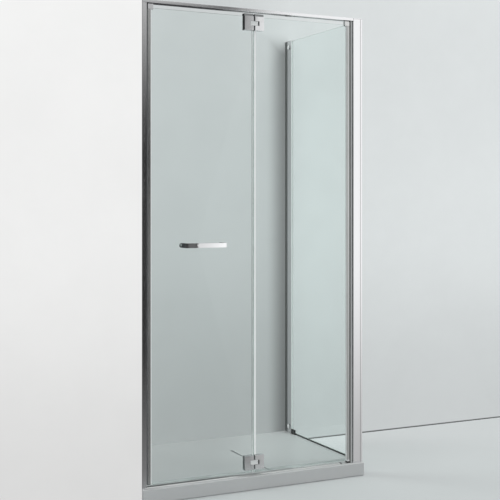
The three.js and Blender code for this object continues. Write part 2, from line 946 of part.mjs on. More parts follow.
function hingePlate(way, leafBottom) {
  return box(
    way * leafFar,
    way * leafNear,
    leafBack,
    leafBack + plateThickness,
    leafBottom,
    leafBottom + leafHeight,
  );
}

// The four hinge pieces of a panel at one height
function buildHingeSide(group, way, owner, level) {
  const hooked = level === "upper";
  const leafBottom = hooked ? upperLeafBottom : lowerLeafBottom;
  const relief = owner === "pivot" ? pivotPocketRelief : leadingPocketRelief;
  const block = hingeBlock(way, leafBottom, relief, hooked);
  piece(group, `${level}_hinge_block_${owner}`, "chrome", block);
  piece(group, `${level}_hinge_plate_${owner}`, "chrome", hingePlate(way, leafBottom));
  piece(group, `${level}_hinge_pin_${owner}`, "steel", hingePin(way, leafBottom));
}

// The clear seal along a panel's lower edge, from its start near the axis to the fold
function dripSeal(way, start) {
  const grip = glassHalf + seat;
  const outer = grip + sealWall;
  const finBottom = thresholdTop + dripFinGap;
  const baseBottom = finBottom + dripFinHeight;
  const baseTop = glassBottomGap - seat;
  const legTop = glassBottomGap + dripSealGrip;
  const fin = dripFinWidth / 2;
  const section = [
    [-outer, baseBottom],
    [-fin, baseBottom],
    [-fin, finBottom],
    [fin, finBottom],
    [fin, baseBottom],
    [outer, baseBottom],
    [outer, legTop],
    [grip, legTop],
    [grip, baseTop],
    [-grip, baseTop],
    [-grip, legTop],
    [-outer, legTop],
  ];
  const ends = [way * start, way * glassFoldEdge];
  return prismX(section, Math.min(...ends), Math.max(...ends));
}

// The clear seal that closes the fold between the hinges. It grips the pivot panel's glass, and a
// thin fin reaches from it to the other glass.
function foldSeal(way) {
  const grip = glassHalf + seat;
  const outer = grip + sealWall;
  const fin = foldFinThickness / 2;
  const webStart = way * (glassFoldEdge + seat);
  const webEnd = webStart + way * sealWall;
  const finEnd = way * (foldReach + foldGlassGap / 2 - foldSealClearance);
  const legEnd = way * (glassFoldEdge - foldSealGrip);
  const section = [
    [webEnd, -outer],
    [webEnd, -fin],
    [finEnd, -fin],
    [finEnd, fin],
    [webEnd, fin],
    [webEnd, outer],
    [legEnd, outer],
    [legEnd, grip],
    [webStart, grip],
    [webStart, -grip],
    [legEnd, -grip],
    [legEnd, -outer],
  ];
  const bottom = lowerLeafBottom + leafHeight + foldSealEndGap;
  return prismZ(section, bottom, upperLeafBottom - foldSealEndGap);
}

// The panel beside the corner post, which turns on the two pivots
function buildPivotPanel(group) {
  const way = -1;
  const holes = [...bossHoles(way, upperLeafBottom), ...bossHoles(way, lowerLeafBottom)];
  piece(group, "pivot_glass", "glass", panelGlass(way, holes));
  piece(group, "pivot_edge_profile", "polished", edgeProfile(way));
  piece(group, "pivot_top_bracket", "chrome", cornerBracket(way));
  const plugTop = edgeBottom - seat;
  const plugBottom = footHeight + seat;
  const half = edgeWidth / 2;
  const depth = edgeDepth / 2;
  const plug = cut(
    box(-half, half, -depth, depth, plugBottom, plugTop),
    rodZ(pinRadius + pinClearance, 0, 0, plugBottom - overrun, plugTop - plugRoof, pinFlats),
  );
  piece(group, "pivot_bottom_plug", "chrome", plug);
  piece(group, "pivot_drip_seal", "clearSeal", dripSeal(way, footSwing + swingClearance));
  piece(group, "fold_seal", "clearSeal", foldSeal(way));
  ["upper", "lower"].forEach((level) => buildHingeSide(group, way, "pivot", level));
}

// The links between the two panels' hinge pins. Their group's x is 0 on the fold line.
function buildFoldLinks(group) {
  const reach = foldReach - hingePinReach;
  const end = reach + linkEndRadius;
  const plan = rectangle(
    -end,
    end,
    -hingePinPlane - linkEndRadius,
    -hingePinPlane + linkEndRadius,
    linkEndRadius,
  );
  ["upper", "lower"].forEach((level) => {
    const leafBottom = level === "upper" ? upperLeafBottom : lowerLeafBottom;
    const middle = leafBottom + leafHeight / 2;
    const bottom = middle - linkHeight / 2;
    const top = middle + linkHeight / 2;
    const bores = [-reach, reach].map((x) =>
      rodZ(
        hingePinRadius + hingePinClearance,
        x,
        -hingePinPlane,
        bottom - overrun,
        top + overrun,
        pinFlats,
      ),
    );
    piece(group, `${level}_hinge_link`, "chrome", cut(prismZ(plan, bottom, top), ...bores));
  });
}

// The handle: a flat bar bent back to the glass at both ends, with a stud in each end
function buildHandle(group, middle) {
  const face = leafBack + washerThickness + seat;
  const front = glassHalf + handleProjection;
  const half = handleLength / 2;
  const left = middle - half;
  const right = middle + half;
  const wall = handleBarThickness;
  const bottom = handleAxisHeight - handleBarHeight / 2;
  const top = handleAxisHeight + handleBarHeight / 2;
  const bar = prismZ(
    [
      [left, -face],
      [left, -front, handleOuterRadius],
      [right, -front, handleOuterRadius],
      [right, -face],
      [right - wall, -face],
      [right - wall, -front + wall, handleInnerRadius],
      [left + wall, -front + wall, handleInnerRadius],
      [left + wall, -face],
    ],
    bottom,
    top,
  );
  const studPlaces = { left: left + wall / 2, right: right - wall / 2 };
  const capStart = glassHalf + seat;
  const capBoreEnd = capStart + backCapHeight - backCapFloor;
  const studs = Object.values(studPlaces).map((x) =>
    rodY(studRadius, x, handleAxisHeight, -face - overrun, capBoreEnd - seat, holeFlats),
  );
  piece(group, "handle_bar", "chrome", join(bar, ...studs));
  Object.entries(studPlaces).forEach(([side, x]) => {
    const bore = rodY(
      studRadius + studClearance,
      x,
      handleAxisHeight,
      -face - overrun,
      capBoreEnd,
      holeFlats,
    );
    const washerStart = -leafBack - washerThickness;
    const washer = rodY(washerRadius, x, handleAxisHeight, washerStart, -leafBack, headFlats);
    piece(group, `handle_washer_${side}`, "clearSeal", cut(washer, bore));
    const capEnd = capStart + backCapHeight;
    const cap = rodY(backCapRadius, x, handleAxisHeight, capStart, capEnd, headFlats);
    piece(group, `handle_cap_${side}`, "chrome", cut(cap, bore));
  });
  return Object.values(studPlaces).map((x) =>
    glassHole(studRadius + studPlay, x, handleAxisHeight, holeFlats),
  );
}

// The panel that carries the handle and closes against the left jamb
function buildLeadingPanel(group) {
  const way = 1;
  const middle = (glassFoldEdge - glassEdge) / 2;
  const handleHoles = buildHandle(group, middle + handleOffset);
  const hingeHoles = [...bossHoles(way, upperLeafBottom), ...bossHoles(way, lowerLeafBottom)];
  piece(group, "leading_glass", "glass", panelGlass(way, [...hingeHoles, ...handleHoles]));
  piece(group, "leading_edge_profile", "polished", edgeProfile(way));
  piece(group, "guide_bracket", "chrome", cornerBracket(way));
  const half = edgeWidth / 2;
  const depth = edgeDepth / 2;
  const capTop = edgeBottom - seat;
  const cap = box(-half, half, -depth, depth, capTop - bottomCapHeight, capTop);
  piece(group, "leading_bottom_cap", "greySeal", cap);
  const magnet = box(
    -half - seat - doorMagnetThickness,
    -half - seat,
    -doorMagnetWidth / 2,
    doorMagnetWidth / 2,
    edgeBottom,
    edgeTop,
  );
  piece(group, "leading_magnet_seal", "greySeal", magnet);
  piece(group, "leading_drip_seal", "clearSeal", dripSeal(way, notchReach + seat));
  ["upper", "lower"].forEach((level) => buildHingeSide(group, way, "leading", level));
}

// The shoe that slides in the top rail, with the pin that leads the leading panel's corner
function buildGuideShoe(group) {
  const slider = box(
    -sliderLength / 2,
    sliderLength / 2,
    -sliderWidth / 2,
    sliderWidth / 2,
    slideBottom,
    slideTop,
  );
  const pinBottom = bracketBoreBottom + pinEndGap;
  const pin = rodZ(pinRadius, 0, 0, pinBottom, slideBottom + overrun, pinFlats);
  piece(group, "guide_shoe", "black", join(slider, pin));
}

function groupAt(parent, x, y, z) {
  const group = new THREE.Group();
  group.position.set(x, y, z);
  parent.add(group);
  return group;
}

const showerEnclosure = new THREE.Group();
const tray = groupAt(showerEnclosure, -trayWidth / 2, -trayDepth / 2, 0);
const frame = groupAt(tray, 0, 0, trayHeight);
buildTray(tray);
buildLeftJamb(frame);
buildTopRail(frame);
buildCorner(frame);
buildThreshold(frame);
buildPivots(frame);
buildSideGlass(frame);
buildSideWallJoint(frame);
buildSideBottomSeal(frame);
buildPivotPanel(groupAt(frame, pivotAxis, glassPlane, 0));
buildFoldLinks(groupAt(frame, guideAxis + foldReach, glassPlane, 0));
buildLeadingPanel(groupAt(frame, guideAxis, glassPlane, 0));
buildGuideShoe(groupAt(frame, guideAxis, glassPlane, 0));

export default showerEnclosure;
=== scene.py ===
"""The looks of a shower enclosure: a folding door of two glass panels, a side glass and a tray.

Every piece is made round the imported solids, in metres, in their frame: +X to the right along the
front, +Y inwards, +Z up, with the origin in the middle of the tray's underside.
"""

import logging
import math
from dataclasses import dataclass, field
from enum import Enum
from typing import Callable, Iterable, Sequence

import bmesh
import bpy
from mathutils import Matrix, Vector


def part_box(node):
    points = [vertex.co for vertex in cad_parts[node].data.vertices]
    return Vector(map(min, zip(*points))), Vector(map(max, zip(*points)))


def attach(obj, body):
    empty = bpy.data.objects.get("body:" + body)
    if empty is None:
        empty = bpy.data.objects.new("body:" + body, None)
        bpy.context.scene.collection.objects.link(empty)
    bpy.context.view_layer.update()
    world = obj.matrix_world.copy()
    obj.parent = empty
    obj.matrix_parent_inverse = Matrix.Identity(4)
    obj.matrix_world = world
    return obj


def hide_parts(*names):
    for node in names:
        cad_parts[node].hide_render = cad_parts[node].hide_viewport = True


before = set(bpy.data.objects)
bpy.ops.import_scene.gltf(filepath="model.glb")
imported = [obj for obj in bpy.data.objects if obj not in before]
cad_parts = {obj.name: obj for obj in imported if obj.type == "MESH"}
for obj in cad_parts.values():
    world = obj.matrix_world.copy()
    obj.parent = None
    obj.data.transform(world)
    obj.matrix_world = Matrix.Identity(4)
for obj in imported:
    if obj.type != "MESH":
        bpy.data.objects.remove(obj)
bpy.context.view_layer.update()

log = logging.getLogger("shower_enclosure")

MM = 0.001
Colour = tuple[float, float, float]
Point = tuple[float, float, float]
Outline = list[tuple[float, float]]
Ramp = tuple[float, float, float, float]  # where it starts and ends, and the results there
Socket = bpy.types.NodeSocket

NOISE_RANGE = (0.3, 0.7)  # where most of a noise texture's values lie
SQUARE = 0.999  # a face's direction along an axis, at least, where it lies square to the axis
FACING = 0.8  # the same where it may lean, as on an eased edge


class Body(Enum):
    """The moving bodies that pieces ride on."""

    FRAME = "enclosure_frame"
    PIVOT = "pivot_panel"
    LINKS = "fold_links"
    LEADING = "leading_panel"
    GUIDE = "guide"


class Slot(Enum):
    """The material slots of the record."""

    PROFILE = "polished_profile"
    CHROME = "chrome_fittings"
    STEEL = "steel"
    GLASS = "clear_glass"
    CLEAR_SEAL = "clear_seal"
    GREY_SEAL = "grey_seal"
    BLACK = "black_plastic"
    TRAY = "tray"


class Axis(Enum):
    """The three directions of the frame."""

    X = 0
    Y = 1
    Z = 2

    @property
    def unit(self) -> Vector:
        """The direction as a vector."""
        return Vector([1.0 if axis is self else 0.0 for axis in Axis])


# Node trees


@dataclass
class Wiring:
    """Short calls for placing and joining nodes in one tree."""

    tree: bpy.types.NodeTree

    def node(self, kind: str, **settings: object) -> bpy.types.Node:
        """Places a node.

        Args:
            kind: the node's type name.
            settings: attributes to set on it.

        Returns:
            The new node.
        """
        made = self.tree.nodes.new(kind)
        for name, value in settings.items():
            setattr(made, name, value)
        return made

    def feed(self, value: object, target: Socket) -> None:
        """Gives an input a value, or links it where the value is a socket.

        Args:
            value: a number, colour, vector or socket.
            target: the input.
        """
        if isinstance(value, Socket):
            self.tree.links.new(value, target)
        elif target.type == "RGBA":
            target.default_value = (*value, 1.0)
        else:
            target.default_value = value

    def fill(self, node: bpy.types.Node, **values: object) -> bpy.types.Node:
        """Gives a node its inputs by name.

        Args:
            node: the node.
            values: input names, with spaces written as underscores, and their values or sockets.

        Returns:
            The same node.
        """
        for name, value in values.items():
            self.feed(value, node.inputs[name.replace("_", " ")])
        return node

    def math(self, operation: str, *values: object) -> Socket:
        """One arithmetic step.

        Args:
            operation: the Math node's operation.
            values: numbers or sockets, in the order of its inputs.

        Returns:
            The result's socket.
        """
        made = self.node("ShaderNodeMath", operation=operation)
        for value, target in zip(values, made.inputs):
            self.feed(value, target)
        return made.outputs[0]

    def chain(self, operation: str, *values: object) -> Socket:
        """One arithmetic step after another, such as the product of several values.

        Args:
            operation: the Math node's operation.
            values: numbers or sockets, at least two.

        Returns:
            The result's socket.
        """
        result, *others = values
        for other in others:
            result = self.math(operation, result, other)
        return result

    def span(self, value: Socket, low: float, high: float, to_low: float, to_high: float) -> Socket:
        """A value mapped smoothly from one range to another, and held at its ends.

        Args:
            value: the socket to map.
            low: where the range starts.
            high: where it ends.
            to_low: the result at the start.
            to_high: the result at the end.

        Returns:
            The result's socket.
        """
        made = self.node("ShaderNodeMapRange", interpolation_type="SMOOTHSTEP")
        self.fill(made, Value=value, From_Min=low, From_Max=high, To_Min=to_low, To_Max=to_high)
        return made.outputs["Result"]

    def mix(self, share: object, first: object, second: object) -> Socket:
        """A mix of two colours.

        Args:
            share: how much of the second, a number or a socket.
            first: a colour or a socket.
            second: a colour or a socket.

        Returns:
            The mixed colour's socket.
        """
        made = self.node("ShaderNodeMix", data_type="RGBA")
        share_input, first_input, second_input = (made.inputs[i] for i in (0, 6, 7))
        self.feed(share, share_input)
        self.feed(first, first_input)
        self.feed(second, second_input)
        return made.outputs[2]

    def blend(self, share: Socket, first: Socket, second: Socket) -> Socket:
        """A mix of two shaders.

        Args:
            share: how much of the second.
            first: a shader's socket.
            second: a shader's socket.

        Returns:
            The mixed shader's socket.
        """
        made = self.node("ShaderNodeMixShader")
        for value, target in zip((share, first, second), made.inputs):
            self.feed(value, target)
        return made.outputs["Shader"]

    def noise(self, place: Socket, scale: object, **values: float) -> Socket:
        """A noise texture's value at a place."""
        made = self.node("ShaderNodeTexNoise", noise_dimensions="3D")
        return self.fill(made, Vector=place, Scale=scale, **values).outputs["Fac"]

    def show(self, surface: Socket, kind: str = "ShaderNodeOutputMaterial") -> None:
        """Joins a finished shader to the tree's output."""
        self.fill(self.node(kind), Surface=surface)


def cleared(owner: bpy.types.Material | bpy.types.World) -> Wiring:
    """Empties the node tree of a material or world and gives its wiring."""
    owner.use_nodes = True
    owner.node_tree.nodes.clear()
    return Wiring(owner.node_tree)


def shader_group(
    name: str, inputs: dict[str, float], outputs: Sequence[str], make: Callable
) -> bpy.types.NodeTree:
    """Builds a shared shader effect as a node group.

    Args:
        name: the group's name.
        inputs: names and first values of its number inputs; a vector input comes first by itself.
        outputs: names of its value outputs.
        make: called with the wiring and the inputs' sockets; gives the outputs' values in order.

    Returns:
        The group.
    """
    tree = bpy.data.node_groups.new(name, "ShaderNodeTree")
    add = tree.interface.new_socket
    add("Vector", in_out="INPUT", socket_type="NodeSocketVector")
    for label, value in inputs.items():
        add(label, in_out="INPUT", socket_type="NodeSocketFloat").default_value = value
    for label in outputs:
        add(label, in_out="OUTPUT", socket_type="NodeSocketFloat")
    wires = Wiring(tree)
    given = wires.node("NodeGroupInput").outputs
    out = wires.node("NodeGroupOutput").inputs
    for label, value in zip(outputs, make(wires, given)):
        wires.feed(value, out[label])
    return tree


def drawn_lines(wires: Wiring, given: object) -> tuple[Socket, Socket]:
    """Fine lines that a die leaves along a drawn profile, and slow bands of polish."""
    lines = wires.noise(given["Vector"], given["Fineness"], Detail=3.0, Roughness=0.65)
    slow = wires.math("MULTIPLY", given["Fineness"], 0.09)
    bands = wires.noise(given["Vector"], slow, Detail=1.0)
    return lines, wires.span(bands, *NOISE_RANGE, 0.0, 1.0)


def touch_marks(wires: Wiring, given: object) -> tuple[Socket, Socket]:
    """Soft marks of hands and dried water, in patches."""
    patches = wires.noise(given["Vector"], given["Patch size"], Detail=4.0, Roughness=0.6)
    spots = wires.node("ShaderNodeTexVoronoi", feature="SMOOTH_F1")
    fine = wires.math("MULTIPLY", given["Patch size"], 9.0)
    wires.fill(spots, Vector=given["Vector"], Scale=fine)
    rims = wires.span(spots.outputs["Distance"], 0.28, 0.42, 1.0, 0.0)
    where = wires.span(patches, 0.46, 0.72, 0.0, 1.0)
    return where, wires.math("MULTIPLY", rims, where)


def moulded_grain(wires: Wiring, given: object) -> tuple[Socket, Socket]:
    """The even fine grain of a moulded or cast surface, with slow clouds in its colour."""
    grain = wires.noise(given["Vector"], given["Grain size"], Detail=5.0, Roughness=0.7)
    clouds = wires.noise(given["Vector"], given["Cloud size"], Detail=3.0)
    return grain, wires.span(clouds, *NOISE_RANGE, 0.0, 1.0)


@dataclass(frozen=True)
class SharedEffects:
    """The shader effects that several finishes use."""

    lines: bpy.types.NodeTree
    marks: bpy.types.NodeTree
    grain: bpy.types.NodeTree

    @classmethod
    def build(cls) -> "SharedEffects":
        """Builds the three groups once."""
        sizes = {"Grain size": 1500.0, "Cloud size": 6.0}
        return cls(
            shader_group("drawn_lines", {"Fineness": 900.0}, ("Lines", "Bands"), drawn_lines),
            shader_group("touch_marks", {"Patch size": 14.0}, ("Patches", "Drops"), touch_marks),
            shader_group("moulded_grain", sizes, ("Grain", "Clouds"), moulded_grain),
        )


@dataclass(frozen=True)
class Bench:
    """What a finish is made with: wiring, surface shader, object coordinates and shared effects."""

    wires: Wiring
    shader: bpy.types.Node
    place: Socket
    effects: SharedEffects

    def effect(self, tree: bpy.types.NodeTree, place: Socket, **values: float) -> object:
        """Places a shared effect's group at some coordinates and gives its outputs by name."""
        made = self.wires.node("ShaderNodeGroup", node_tree=tree)
        return self.wires.fill(made, Vector=place, **values).outputs

    def marks(self, size: float) -> object:
        """Hand marks and dried water, in patches of a size."""
        return self.effect(self.effects.marks, self.place, Patch_size=size)

    def grain(self, grain_size: float, cloud_size: float) -> object:
        """A moulded grain with clouds."""
        sizes = {"Grain_size": grain_size, "Cloud_size": cloud_size}
        return self.effect(self.effects.grain, self.place, **sizes)

    def tint(self, share: Socket, colour: Colour, shade: float) -> None:
        """Makes the shader's colour darker by a factor where the share is high."""
        dark = tuple(c * shade for c in colour)
        self.wires.fill(self.shader, Base_Color=self.wires.mix(share, colour, dark))

    def relief(self, height: Socket, strength: float, distance: float) -> None:
        """Gives the surface a fine relief."""
        bump = self.wires.node("ShaderNodeBump")
        self.wires.fill(bump, Strength=strength, Distance=distance, Height=height)
        self.wires.fill(self.shader, Normal=bump.outputs["Normal"])


@dataclass(frozen=True)
class Finish:
    """What the finishes share: a name, a slot and a colour. Each kind builds its own nodes."""

    name: str
    slot: Slot
    colour: Colour

    def build(self, effects: SharedEffects) -> bpy.types.Material:
        """Makes the material.

        Args:
            effects: the shared effects.

        Returns:
            The material.
        """
        material = bpy.data.materials.new(self.name)
        wires = cleared(material)
        shader = wires.node("ShaderNodeBsdfPrincipled")
        place = wires.node("ShaderNodeTexCoord").outputs["Object"]
        wires.show(self.dress(Bench(wires, shader, place, effects)))
        return material

    def dress(self, bench: Bench) -> Socket:
        """Sets the bench's shader up and gives the socket that the output shows."""
        raise NotImplementedError


@dataclass(frozen=True)
class DrawnMetal(Finish):
    """Metal with fine lines along one direction, as on a polished profile or brushed steel."""

    along: Axis = Axis.Z
    stretch: float = 0.012
    fineness: float = 900.0
    roughness: tuple[float, float] = (0.06, 0.1)
    shade: float = 0.96
    relief: float = 0.05
    depth: float = 0.00004
    mark_size: float = 9.0
    mark_share: float = 0.6

    def dress(self, bench: Bench) -> Socket:
        """Lines drive colour, roughness and a slight relief; bands of polish vary the gloss."""
        wires = bench.wires
        scale = [self.stretch if axis is self.along else 1.0 for axis in Axis]
        stretched = wires.fill(wires.node("ShaderNodeMapping"), Vector=bench.place, Scale=scale)
        way = stretched.outputs["Vector"]
        lines = bench.effect(bench.effects.lines, way, Fineness=self.fineness)
        marks = bench.marks(self.mark_size)
        bench.tint(lines["Lines"], self.colour, self.shade)
        low, high = self.roughness
        gloss = wires.span(lines["Bands"], 0.0, 1.0, low, high)
        dull = wires.math("MULTIPLY", marks["Patches"], (high - low) * self.mark_share)
        wires.fill(bench.shader, Metallic=1.0, Roughness=wires.math("ADD", gloss, dull))
        bench.relief(lines["Lines"], self.relief, self.depth)
        return bench.shader.outputs["BSDF"]


@dataclass(frozen=True)
class MirrorMetal(Finish):
    """Chrome plating: a near mirror with faint hand marks and water spots."""

    roughness: tuple[float, float] = (0.02, 0.055)
    patch_size: float = 30.0
    grain_size: float = 420.0
    cloud_size: float = 60.0
    shade: float = 0.95
    relief: float = 0.04
    depth: float = 0.00005

    def dress(self, bench: Bench) -> Socket:
        """Marks soften the mirror a little, and a fine grain gives it the faintest relief."""
        marks = bench.marks(self.patch_size)
        grain = bench.grain(self.grain_size, self.cloud_size)
        bench.tint(marks["Patches"], self.colour, self.shade)
        gloss = bench.wires.span(marks["Patches"], 0.0, 1.0, *self.roughness)
        bench.wires.fill(bench.shader, Metallic=1.0, Roughness=gloss)
        bench.relief(grain["Grain"], self.relief, self.depth)
        return bench.shader.outputs["BSDF"]


@dataclass(frozen=True)
class ClearGlass(Finish):
    """Toughened glass: smooth on its faces, and with ground edges where it is told so."""

    passing: Colour = (0.9, 0.94, 0.93)
    ground: bool = False
    refraction: float = 1.22
    mark_size: float = 5.0
    shade: float = 0.985
    ground_fineness: float = 700.0
    ground_roughness: tuple[float, float] = (0.18, 0.32)
    ground_clearness: float = 0.6

    def dress(self, bench: Bench) -> Socket:
        """Light passes with a slight tint, and lamps shine through it onto what is behind."""
        wires, shader = bench.wires, bench.shader
        bench.tint(bench.marks(self.mark_size)["Patches"], self.colour, self.shade)
        clearness, rough = 1.0, 0.0
        if self.ground:
            lines = bench.effect(bench.effects.lines, bench.place, Fineness=self.ground_fineness)
            rough = wires.span(lines["Lines"], *NOISE_RANGE, *self.ground_roughness)
            clearness = self.ground_clearness
        wires.fill(shader, Metallic=0.0, IOR=self.refraction)
        wires.fill(shader, Transmission_Weight=clearness, Roughness=rough)
        clear = wires.fill(wires.node("ShaderNodeBsdfTransparent"), Color=self.passing)
        path = wires.node("ShaderNodeLightPath").outputs
        through = wires.math("MAXIMUM", path["Is Shadow Ray"], path["Is Diffuse Ray"])
        return wires.blend(through, shader.outputs["BSDF"], clear.outputs["BSDF"])


@dataclass(frozen=True)
class SoftSeal(Finish):
    """A soft extruded seal: clear, milky, or grey and closed."""

    clearness: float = 0.0
    roughness: tuple[float, float] = (0.3, 0.45)
    refraction: float = 1.45
    painted_glow: float = 0.0
    grain_size: float = 1200.0
    cloud_size: float = 9.0
    shade: float = 0.93
    relief: float = 0.06
    depth: float = 0.0001

    def dress(self, bench: Bench) -> Socket:
        """Slow clouds in the colour, and a faint grain that dulls the surface."""
        grain = bench.grain(self.grain_size, self.cloud_size)
        bench.tint(grain["Clouds"], self.colour, self.shade)
        bench.wires.fill(
            bench.shader,
            Roughness=bench.wires.span(grain["Grain"], *NOISE_RANGE, *self.roughness),
            IOR=self.refraction,
            Transmission_Weight=self.clearness,
            # The emission is a painted glow: the seal gives out light though it is no lamp.
            Emission_Color=self.colour,
            Emission_Strength=self.painted_glow,
        )
        bench.relief(grain["Grain"], self.relief, self.depth)
        return bench.shader.outputs["BSDF"]


@dataclass(frozen=True)
class CastSurface(Finish):
    """A cast or moulded surface with a fine grain: the tray, cover caps and black fittings."""

    roughness: tuple[float, float] = (0.32, 0.45)
    grain_size: float = 900.0
    cloud_size: float = 3.0
    cloud_shade: float = 0.97
    relief: float = 0.12
    depth: float = 0.00012
    speck_tone: float = 1.03
    speck_ramp: Ramp = (0.55, 0.75, 0.0, 0.7)
    mark_size: float = 4.0
    wet_gloss: float = -0.06

    def dress(self, bench: Bench) -> Socket:
        """Clouds vary the colour, the grain the gloss and relief; water marks lie in patches."""
        wires = bench.wires
        grain = bench.grain(self.grain_size, self.cloud_size)
        marks = bench.marks(self.mark_size)
        shaded = tuple(c * self.cloud_shade for c in self.colour)
        speck = tuple(min(1.0, c * self.speck_tone) for c in self.colour)
        base = wires.mix(grain["Clouds"], self.colour, shaded)
        fine = wires.span(grain["Grain"], *self.speck_ramp)
        gloss = wires.span(grain["Grain"], *NOISE_RANGE, *self.roughness)
        wet = wires.math("MULTIPLY", marks["Drops"], self.wet_gloss)
        rough = wires.math("ADD", gloss, wet)
        wires.fill(bench.shader, Base_Color=wires.mix(fine, base, speck), Roughness=rough)
        bench.relief(grain["Grain"], self.relief, self.depth)
        return bench.shader.outputs["BSDF"]


POLISHED = (0.82, 0.825, 0.835)
STEEL = (0.66, 0.67, 0.68)


class Look(Enum):
    """The finishes of this object, each with its own settings."""

    PROFILE_UPRIGHT = DrawnMetal("polished_upright", Slot.PROFILE, POLISHED)
    PROFILE_ACROSS = DrawnMetal("polished_across", Slot.PROFILE, POLISHED, Axis.X)
    CHROME = MirrorMetal("chrome", Slot.CHROME, (0.86, 0.87, 0.88))
    BRIGHT_CHROME = MirrorMetal("bright_chrome", Slot.CHROME, (0.88, 0.89, 0.9), (0.004, 0.014))
    STEEL_UPRIGHT = DrawnMetal(
        "steel_upright", Slot.STEEL, STEEL, Axis.Z, 0.05, 1400.0, (0.24, 0.36)
    )
    STEEL_ALONG = DrawnMetal("steel_along", Slot.STEEL, STEEL, Axis.Y, 0.02, 1400.0, (0.24, 0.36))
    PROFILE_SATIN = DrawnMetal(
        "satin_upright", Slot.PROFILE, (0.5, 0.515, 0.51), roughness=(0.16, 0.22)
    )
    PROFILE_DUSK = DrawnMetal(
        "dusky_upright", Slot.PROFILE, (0.6, 0.61, 0.605), roughness=(0.14, 0.2)
    )
    # Painted shade: a dark copy of the polished aluminium, for profiles and a groove floor that lie
    # in shade.
    PROFILE_SHADED = DrawnMetal(
        "shaded_upright", Slot.PROFILE, (0.19, 0.2, 0.195), roughness=(0.3, 0.4)
    )
    PROFILE_LOW = DrawnMetal(
        "grey_across", Slot.PROFILE, (0.78, 0.79, 0.785), Axis.X, roughness=(0.4, 0.5)
    )
    FITTING_SATIN = DrawnMetal(
        "satin_fitting", Slot.CHROME, (0.66, 0.67, 0.665), roughness=(0.16, 0.22)
    )
    COVER_CAP = CastSurface(
        "cover_cap", Slot.CHROME, (0.84, 0.85, 0.85), (0.18, 0.26), 1400.0, 30.0, 0.97, 0.03
    )
    # Painted shade and painted dark reflection: a dark copy of the chrome for faces in shade, hooks
    # under the rail and sides.
    HOOK = DrawnMetal("shaded_chrome", Slot.CHROME, (0.3, 0.31, 0.315), roughness=(0.25, 0.35))
    GLASS = ClearGlass("glass_face", Slot.GLASS, (0.955, 0.992, 0.985), (0.83, 0.87, 0.86))
    GLASS_EDGE = ClearGlass("glass_edge", Slot.GLASS, (0.78, 0.89, 0.85), (0.8, 0.9, 0.87), True)
    CLEAR_SEAL = SoftSeal(
        "clear_seal", Slot.CLEAR_SEAL, (0.97, 0.99, 0.985), 0.95, (0.12, 0.2), 1.05
    )
    # Painted light: the milky seal glows a little, so beads and lips in shadow stay bright.
    WHITE_SEAL = SoftSeal("milky_seal", Slot.CLEAR_SEAL, (0.72, 0.735, 0.735), painted_glow=0.32)
    GREY_SEAL = SoftSeal("grey_seal", Slot.GREY_SEAL, (0.26, 0.28, 0.28), 0.0, (0.4, 0.55))
    BLACK = CastSurface(
        "black_plastic", Slot.BLACK, (0.018, 0.019, 0.02), (0.4, 0.55), 1400.0, 30.0, 0.9
    )
    TRAY = CastSurface("cast_tray", Slot.TRAY, (0.57, 0.58, 0.585))


# Shapes


def new_object(name: str, mesh: bpy.types.Mesh) -> bpy.types.Object:
    """An object in the scene that holds the mesh."""
    made = bpy.data.objects.new(name, mesh)
    bpy.context.scene.collection.objects.link(made)
    return made


def shaped(name: str, bm: bmesh.types.BMesh) -> bpy.types.Object:
    """An object in the scene made from an edit mesh, which is freed."""
    mesh = bpy.data.meshes.new(name)
    bm.to_mesh(mesh)
    bm.free()
    return new_object(name, mesh)


def settled(obj: bpy.types.Object) -> bpy.types.Object:
    """Bakes an object's modifiers into its mesh.

    Args:
        obj: the object.

    Returns:
        The same object, with a plain mesh and no modifiers.
    """
    graph = bpy.context.evaluated_depsgraph_get()
    plain = bpy.data.meshes.new_from_object(
        obj.evaluated_get(graph), preserve_all_data_layers=True, depsgraph=graph
    )
    obj.modifiers.clear()
    old = obj.data
    obj.data = plain
    bpy.data.meshes.remove(old)
    plain.name = obj.name
    return obj


def eased(
    obj: bpy.types.Object, width: float, steps: int = 2, angle: float = 30.0
) -> bpy.types.Object:
    """Rounds an object's sharp edges and settles it.

    Args:
        obj: the object.
        width: the rounding's width in millimetres; 0 leaves the edges sharp.
        steps: the rounding's steps.
        angle: the least angle of an edge that is rounded, in degrees.

    Returns:
        The same object.
    """
    for polygon in obj.data.polygons:
        polygon.use_smooth = True
    if width > 0:
        bevel = obj.modifiers.new("ease", "BEVEL")
        bevel.width = width * MM
        bevel.segments = steps
        bevel.limit_method = "ANGLE"
        bevel.angle_limit = math.radians(angle)
        bevel.miter_outer = "MITER_ARC"
        bevel.use_clamp_overlap = True
    even = obj.modifiers.new("even", "WEIGHTED_NORMAL")
    even.weight = 50
    return settled(obj)


def merged_copy(node: str, flat_angle: float = 0.6) -> bmesh.types.BMesh:
    """A copy of a solid's mesh with its loose triangles joined into whole faces.

    Args:
        node: the solid's name.
        flat_angle: faces that meet at less than this angle, in degrees, become one.

    Returns:
        The copy as an edit mesh.
    """
    weld = 0.000002
    bm = bmesh.new()
    bm.from_mesh(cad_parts[node].data)
    bmesh.ops.remove_doubles(bm, verts=bm.verts, dist=weld)
    bmesh.ops.dissolve_limit(
        bm, angle_limit=math.radians(flat_angle), verts=bm.verts, edges=bm.edges
    )
    return bm


